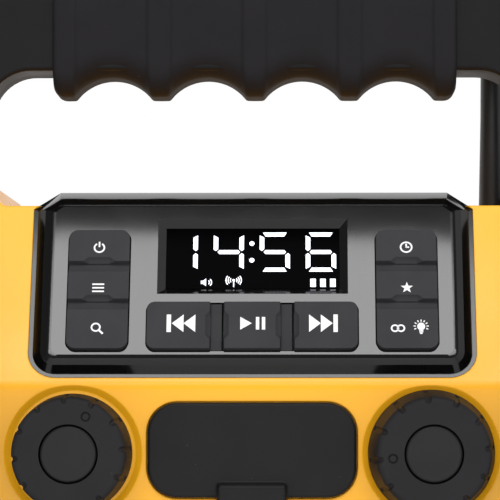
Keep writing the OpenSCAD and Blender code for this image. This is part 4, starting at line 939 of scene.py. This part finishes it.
def turned_form(head_r, head_h, shank_r, shank_len):
    """The lathe form of a pan-head screw: the top of its head at the origin, its shank downward."""
    tip, n = -head_h - shank_len, SCREW_SIDES
    # Radius and height, from the shank's tip to the flat on the rounded head
    profile = [(shank_r * 0.7, tip), (shank_r, tip + 1), (shank_r, -head_h),
               (head_r, -head_h), (head_r, -0.55 * head_h), (head_r * 0.96, -0.3 * head_h),
               (head_r * 0.84, -0.1 * head_h), (head_r * 0.62, 0)]
    points = [at(*round_point(0, 0, r, 360 * i / n), z) for r, z in profile for i in range(n)]
    faces = [(k * n + i, k * n + (i + 1) % n, (k + 1) * n + (i + 1) % n, (k + 1) * n + i)
             for k in range(len(profile) - 1) for i in range(n)]
    faces += [tuple(reversed(range(n))), tuple((len(profile) - 1) * n + i for i in range(n))]
    mesh = bpy.data.meshes.new("turned_form")
    mesh.from_pydata([tuple(p) for p in points], [], faces)
    form = bpy.data.objects.new("turned_form", mesh)
    bpy.context.scene.collection.objects.link(form)
    return form


def screws():
    """Pan-head screws of the case, the cage and the handle, each on its own seat."""
    rule = screw_rule()
    # The node, its head's radius and height, its shank's radius and the way of its axis
    rows = [
        ("case_screws", 3.8, 2.4, 1.9, (0, 1, 0)),
        ("frame_screws", 3.4, 2.2, 1.8, (1, 0, 0)),
        ("handle_screws", 3.2, 2.0, 1.6, (1, 0, 0)),
    ]
    for node, head_r, head_h, shank_r, way in rows:
        spots, ways, length = heads_of(node, Vector(way), head_h)
        form = turned_form(head_r, head_h, shank_r, length)
        piece = make_piece(node + "_turned", spots, [], [], None)
        aim = piece.data.attributes.new("way", "FLOAT_VECTOR", "POINT")
        aim.data.foreach_set("vector", [c for w in ways for c in w])
        apply_rule(piece, rule, {
            "Recess Length": head_r * RECESS_LENGTH * MM,
            "Recess Width": head_r * RECESS_WIDTH * MM,
            "Recess Depth": head_h * RECESS_DEPTH * MM,
            "Turned Form": form, "Finish": ZINC, "Seed": 7})
        bpy.data.objects.remove(form)
        smooth(piece, 32)
        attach(piece, frame["nodes"][node]["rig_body"])
        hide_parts(node)


def heads_of(node, way, head_h):
    """The middle of each screw head's top, the way it faces, and the shank's length."""
    bm = bmesh.new()
    bm.from_mesh(frame["nodes"][node].data)
    bmesh.ops.remove_doubles(bm, verts=bm.verts, dist=WELD * MM)
    seen, spots, ways, length = set(), [], [], 0
    for first in bm.verts:
        if first in seen:
            continue
        seen.add(first)
        grown, island = [first], []
        while grown:
            vert = grown.pop()
            island.append(vert.co.copy())
            for edge in vert.link_edges:
                other = edge.other_vert(vert)
                if other not in seen:
                    seen.add(other)
                    grown.append(other)
        middle = sum(island, Vector()) / len(island)
        along = [p.dot(way) for p in island]
        aside = [(p - middle - way * (p - middle).dot(way)).length for p in island]
        low, high = min(along), max(along)
        head = [a for a, r in zip(along, aside) if r > HEAD_SHARE * max(aside)]
        facing = 1 if sum(head) / len(head) > (low + high) / 2 else -1
        end = high if facing > 0 else low
        spots.append(middle - way * middle.dot(way) + way * end)
        ways.append(way * facing)
        length = (high - low) / MM - head_h
    bm.free()
    return spots, ways, length


def rim_rule():
    """Sets a rolled rim round every hole of the grille: staggered rows in a rounded outline."""
    rule, given, made = new_rule(
        "rolled_hole_rims",
        ["Pitch", "Hole Radius", "Roll Radius", "Reach Across", "Reach Up", "Corner", "Height",
         "Front"],
        [("Finish", "NodeSocketMaterial")])

    half = add(rule, "ShaderNodeMath", {0: given["Pitch"], 1: 0.5}, operation="MULTIPLY")
    step = add(rule, "ShaderNodeMath", {0: given["Pitch"], 1: math.sqrt(3) / 2},
               operation="MULTIPLY")
    wide = add(rule, "ShaderNodeMath", {0: given["Pitch"], 1: 2.0 * GRILLE_COLUMNS},
               operation="MULTIPLY")
    high = add(rule, "ShaderNodeMath", {0: step.outputs[0], 1: 2.0 * GRILLE_ROWS},
               operation="MULTIPLY")
    grid = add(rule, "GeometryNodeMeshGrid",
               {"Size X": wide.outputs[0], "Size Y": high.outputs[0],
                "Vertices X": 2 * GRILLE_COLUMNS + 1, "Vertices Y": 2 * GRILLE_ROWS + 1})
    place = add(rule, "GeometryNodeInputPosition")
    spot = add(rule, "ShaderNodeSeparateXYZ", {0: place.outputs[0]}).outputs
    across = add(rule, "ShaderNodeMath", {0: spot["X"]}, operation="ABSOLUTE")
    up = add(rule, "ShaderNodeMath", {0: spot["Y"]}, operation="ABSOLUTE")
    rows = add(rule, "ShaderNodeMath", {0: up.outputs[0], 1: step.outputs[0]}, operation="DIVIDE")
    row = add(rule, "ShaderNodeMath", {0: rows.outputs[0]}, operation="ROUND")
    odd = add(rule, "ShaderNodeMath", {0: row.outputs[0], 1: 2.0}, operation="MODULO")
    shift = add(rule, "ShaderNodeMath", {0: odd.outputs[0], 1: half.outputs[0]},
                operation="MULTIPLY")
    sideways = add(rule, "ShaderNodeCombineXYZ", {0: shift.outputs[0]})
    staggered = add(rule, "GeometryNodeSetPosition",
                    {"Geometry": grid.outputs["Mesh"], "Offset": sideways.outputs[0]})
    # The rounded end of the field: how far across a row reaches, from Pythagoras in the corner.
    above = add(rule, "ShaderNodeMath", {0: up.outputs[0], 1: given["Reach Up"]},
                operation="SUBTRACT")
    into = add(rule, "ShaderNodeMath", {0: above.outputs[0], 1: given["Corner"]}, operation="ADD")
    past = add(rule, "ShaderNodeMath", {0: into.outputs[0], 1: 0.0}, operation="MAXIMUM")
    past_square = add(rule, "ShaderNodeMath", {0: past.outputs[0], 1: 2.0}, operation="POWER")
    corner_square = add(rule, "ShaderNodeMath", {0: given["Corner"], 1: 2.0}, operation="POWER")
    left_over = add(rule, "ShaderNodeMath",
                    {0: corner_square.outputs[0], 1: past_square.outputs[0]}, operation="SUBTRACT")
    not_below = add(rule, "ShaderNodeMath", {0: left_over.outputs[0], 1: 0.0}, operation="MAXIMUM")
    bow = add(rule, "ShaderNodeMath", {0: not_below.outputs[0]}, operation="SQRT")
    reach = add(rule, "ShaderNodeMath", {0: given["Reach Across"], 1: bow.outputs[0]},
                operation="ADD")
    outside = add(rule, "FunctionNodeCompare", {0: across.outputs[0], 1: reach.outputs[0]},
                  operation="GREATER_THAN", data_type="FLOAT")
    kept = add(rule, "GeometryNodeDeleteGeometry",
               {"Geometry": staggered.outputs[0], "Selection": outside.outputs[0]}, domain="POINT")
    circle = add(rule, "GeometryNodeCurvePrimitiveCircle",
                 {"Resolution": 20, "Radius": given["Hole Radius"]})
    roll = add(rule, "GeometryNodeCurvePrimitiveCircle",
               {"Resolution": 6, "Radius": given["Roll Radius"]})
    rim = add(rule, "GeometryNodeCurveToMesh",
              {"Curve": circle.outputs["Curve"], "Profile Curve": roll.outputs["Curve"]})
    placed = add(rule, "GeometryNodeInstanceOnPoints",
                 {"Points": kept.outputs[0], "Instance": rim.outputs[0]})
    whole = add(rule, "GeometryNodeRealizeInstances", {"Geometry": placed.outputs[0]})
    middle = add(rule, "ShaderNodeCombineXYZ", {1: given["Front"], 2: given["Height"]})
    stood = add(rule, "GeometryNodeTransform",
                {"Geometry": whole.outputs[0], "Rotation": (math.pi / 2, 0, 0),
                 "Translation": middle.outputs[0]})
    smoothed = add(rule, "GeometryNodeSetShadeSmooth", {"Geometry": stood.outputs[0]})
    dressed = add(rule, "GeometryNodeSetMaterial",
                  {"Geometry": smoothed.outputs[0], "Material": given["Finish"]})
    rule.links.new(dressed.outputs[0], made["Mesh"])
    return rule


def grille():
    """Rolled rims on the front of the perforated grille."""
    low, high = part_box("speaker_grille")
    piece = make_piece("grille_hole_rims", [], [], [], None)
    apply_rule(piece, rim_rule(), {
        "Pitch": GRILLE_PITCH * MM, "Hole Radius": (GRILLE_HOLE_R + RIM_OUT) * MM,
        "Roll Radius": RIM_R * MM,
        "Reach Across": high.x - (GRILLE_BORDER + GRILLE_HOLE_R + GRILLE_CORNER - RIM_SLACK) * MM,
        "Reach Up": (high.z - low.z) / 2, "Corner": GRILLE_CORNER * MM,
        "Height": (low.z + high.z) / 2, "Front": low.y, "Finish": POWDER_COAT})
    outward(piece)
    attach(piece, "chassis")


# ------------------------------------------------------------------ pieces that keep their shape

def plain_nodes():
    """Materials of the antenna, the metal parts, the boards, the loudspeaker and the cells."""
    dress(WHIP_RUBBER, "antenna_collar", "antenna_whip")
    dress(ZINC, "board_screws", "speaker_screws")
    dress(NICKEL, "volume_shaft", "tuning_shaft", "encoders", "encoder_nuts", "socket_hinge_pin",
          "charging_socket", "battery_contacts", "door_hinge_pin", "key_switches")
    dress(BOARD, "key_board", "socket_board", "main_board")
    dress(INNER, "socket_panel", "audio_jack", "power_inlet", "battery_tray", "display_module")
    dress(POWDER_COAT, "speaker_grille", "speaker_basket")
    dress(PULP, "speaker_cone")
    dress(BUTYL, "speaker_surround")
    dress(FERRITE, "speaker_magnet")
    dress(ALUMINIUM, "heat_sink")
    dress(SLEEVE, "battery_cells")


# ------------------------------------------------------------------ studio

FILL = 0.93


def softbox(name, centre, size, watts, aim):
    """A rectangular studio lamp, aimed at a point."""
    lamp = bpy.data.lights.new(name, "AREA")
    lamp.shape = "RECTANGLE"
    lamp.size, lamp.size_y = size
    lamp.energy = watts
    holder = bpy.data.objects.new(name, lamp)
    holder.location = centre
    holder.rotation_euler = (Vector(aim) - Vector(centre)).to_track_quat("-Z", "Y").to_euler()
    bpy.context.scene.collection.objects.link(holder)


def studio():
    """White for the eye, a soft even room for light, and a white backdrop low behind for gloss."""
    world = bpy.data.worlds.new("studio")
    bpy.context.scene.world = world
    world.use_nodes = True
    tree = world.node_tree
    tree.nodes.clear()
    facing = add(tree, "ShaderNodeTexCoord")
    way = add(tree, "ShaderNodeSeparateXYZ", {0: facing.outputs["Generated"]}).outputs
    behind = add(tree, "ShaderNodeMapRange", {"Value": way["Y"], "From Min": -0.1, "From Max": 0.3},
                 interpolation_type="SMOOTHSTEP")
    low = add(tree, "ShaderNodeMapRange",
              {"Value": way["Z"], "From Min": 0.58, "From Max": 0.68,
               "To Min": 1.0, "To Max": 0.02},
              interpolation_type="SMOOTHSTEP")
    backdrop = add(tree, "ShaderNodeMath", {0: behind.outputs[0], 1: low.outputs[0]},
                   operation="MULTIPLY")
    right = add(tree, "ShaderNodeMapRange",
                {"Value": way["X"], "From Min": 0.2, "From Max": 0.8,
                 "To Min": 0.03, "To Max": 0.9},
                interpolation_type="SMOOTHSTEP")
    left = add(tree, "ShaderNodeMapRange",
               {"Value": way["X"], "From Min": -0.8, "From Max": -0.2,
                "To Min": 0.2, "To Max": 0.03},
               interpolation_type="SMOOTHSTEP")
    front = add(tree, "ShaderNodeMapRange",
                {"Value": way["Y"], "From Min": -0.6, "From Max": -0.35,
                 "To Min": 0.3, "To Max": 0.03},
                interpolation_type="SMOOTHSTEP")
    sides = add(tree, "ShaderNodeMath", {0: right.outputs[0], 1: left.outputs[0]},
                operation="MAXIMUM")
    walls = add(tree, "ShaderNodeMath", {0: sides.outputs[0], 1: front.outputs[0]},
                operation="MAXIMUM")
    mirrored = add(tree, "ShaderNodeMath", {0: walls.outputs[0], 1: backdrop.outputs[0]},
                   operation="MAXIMUM")
    path = add(tree, "ShaderNodeLightPath").outputs
    shiny = add(tree, "ShaderNodeMath", {0: path["Is Glossy Ray"], 1: path["Is Transmission Ray"]},
                operation="ADD")
    strength = add(tree, "ShaderNodeMix", {0: shiny.outputs[0], 2: FILL, 3: mirrored.outputs[0]})
    room = add(tree, "ShaderNodeBackground",
               {"Color": (1, 1, 1, 1), "Strength": strength.outputs[0]})
    white = add(tree, "ShaderNodeBackground", {"Color": (1, 1, 1, 1), "Strength": 1.0})
    mixed = add(tree, "ShaderNodeMixShader",
                {0: path["Is Camera Ray"], 1: room.outputs[0], 2: white.outputs[0]})
    add(tree, "ShaderNodeOutputWorld", {"Surface": mixed.outputs[0]})

    softbox("strip_softbox", centre=(-0.02, -0.783, 0.989), size=(0.7, 0.22), watts=3.75,
            aim=(0, -0.04, 0.17))
    softbox("front_softbox", centre=(0.0, -1.6, 0.12), size=(1.8, 0.5), watts=4.9,
            aim=(0, 0, 0.15))

    half = 3.0
    corners = [(-half, -half, 0), (half, -half, 0), (half, half, 0), (-half, half, 0)]
    floor = make_piece("floor", corners, [(0, 1, 2, 3)], [], None)
    material, tree, shader = finish_of("floor_paper", "#EEEEEE", 0.8)
    uneven_gloss(tree, shader, low=0.75, high=0.85, size=40)
    floor.data.materials.append(material)


def camera():
    """Eye just above knob height, 800 mm in front of the housing."""
    lens = bpy.data.cameras.new("eye")
    lens.sensor_width = 36
    lens.lens = 230.7
    lens.clip_start = 0.01
    eye = bpy.data.objects.new("eye", lens)
    eye.location = at(EYE_X, FRONT_Y - EYE_AWAY, EYE_Z)
    aim = at(AIM_X, FRONT_Y, EYE_Z + AIM_UP)
    eye.rotation_euler = (aim - eye.location).to_track_quat("-Z", "Y").to_euler()
    bpy.context.scene.collection.objects.link(eye)
    bpy.context.scene.camera = eye
    bpy.context.scene.view_settings.view_transform = "Standard"


camera()
studio()
housing()
knobs()
socket_bay()
bezel()
keys()
grip()
screws()
grille()
legends()
display()
plain_nodes()
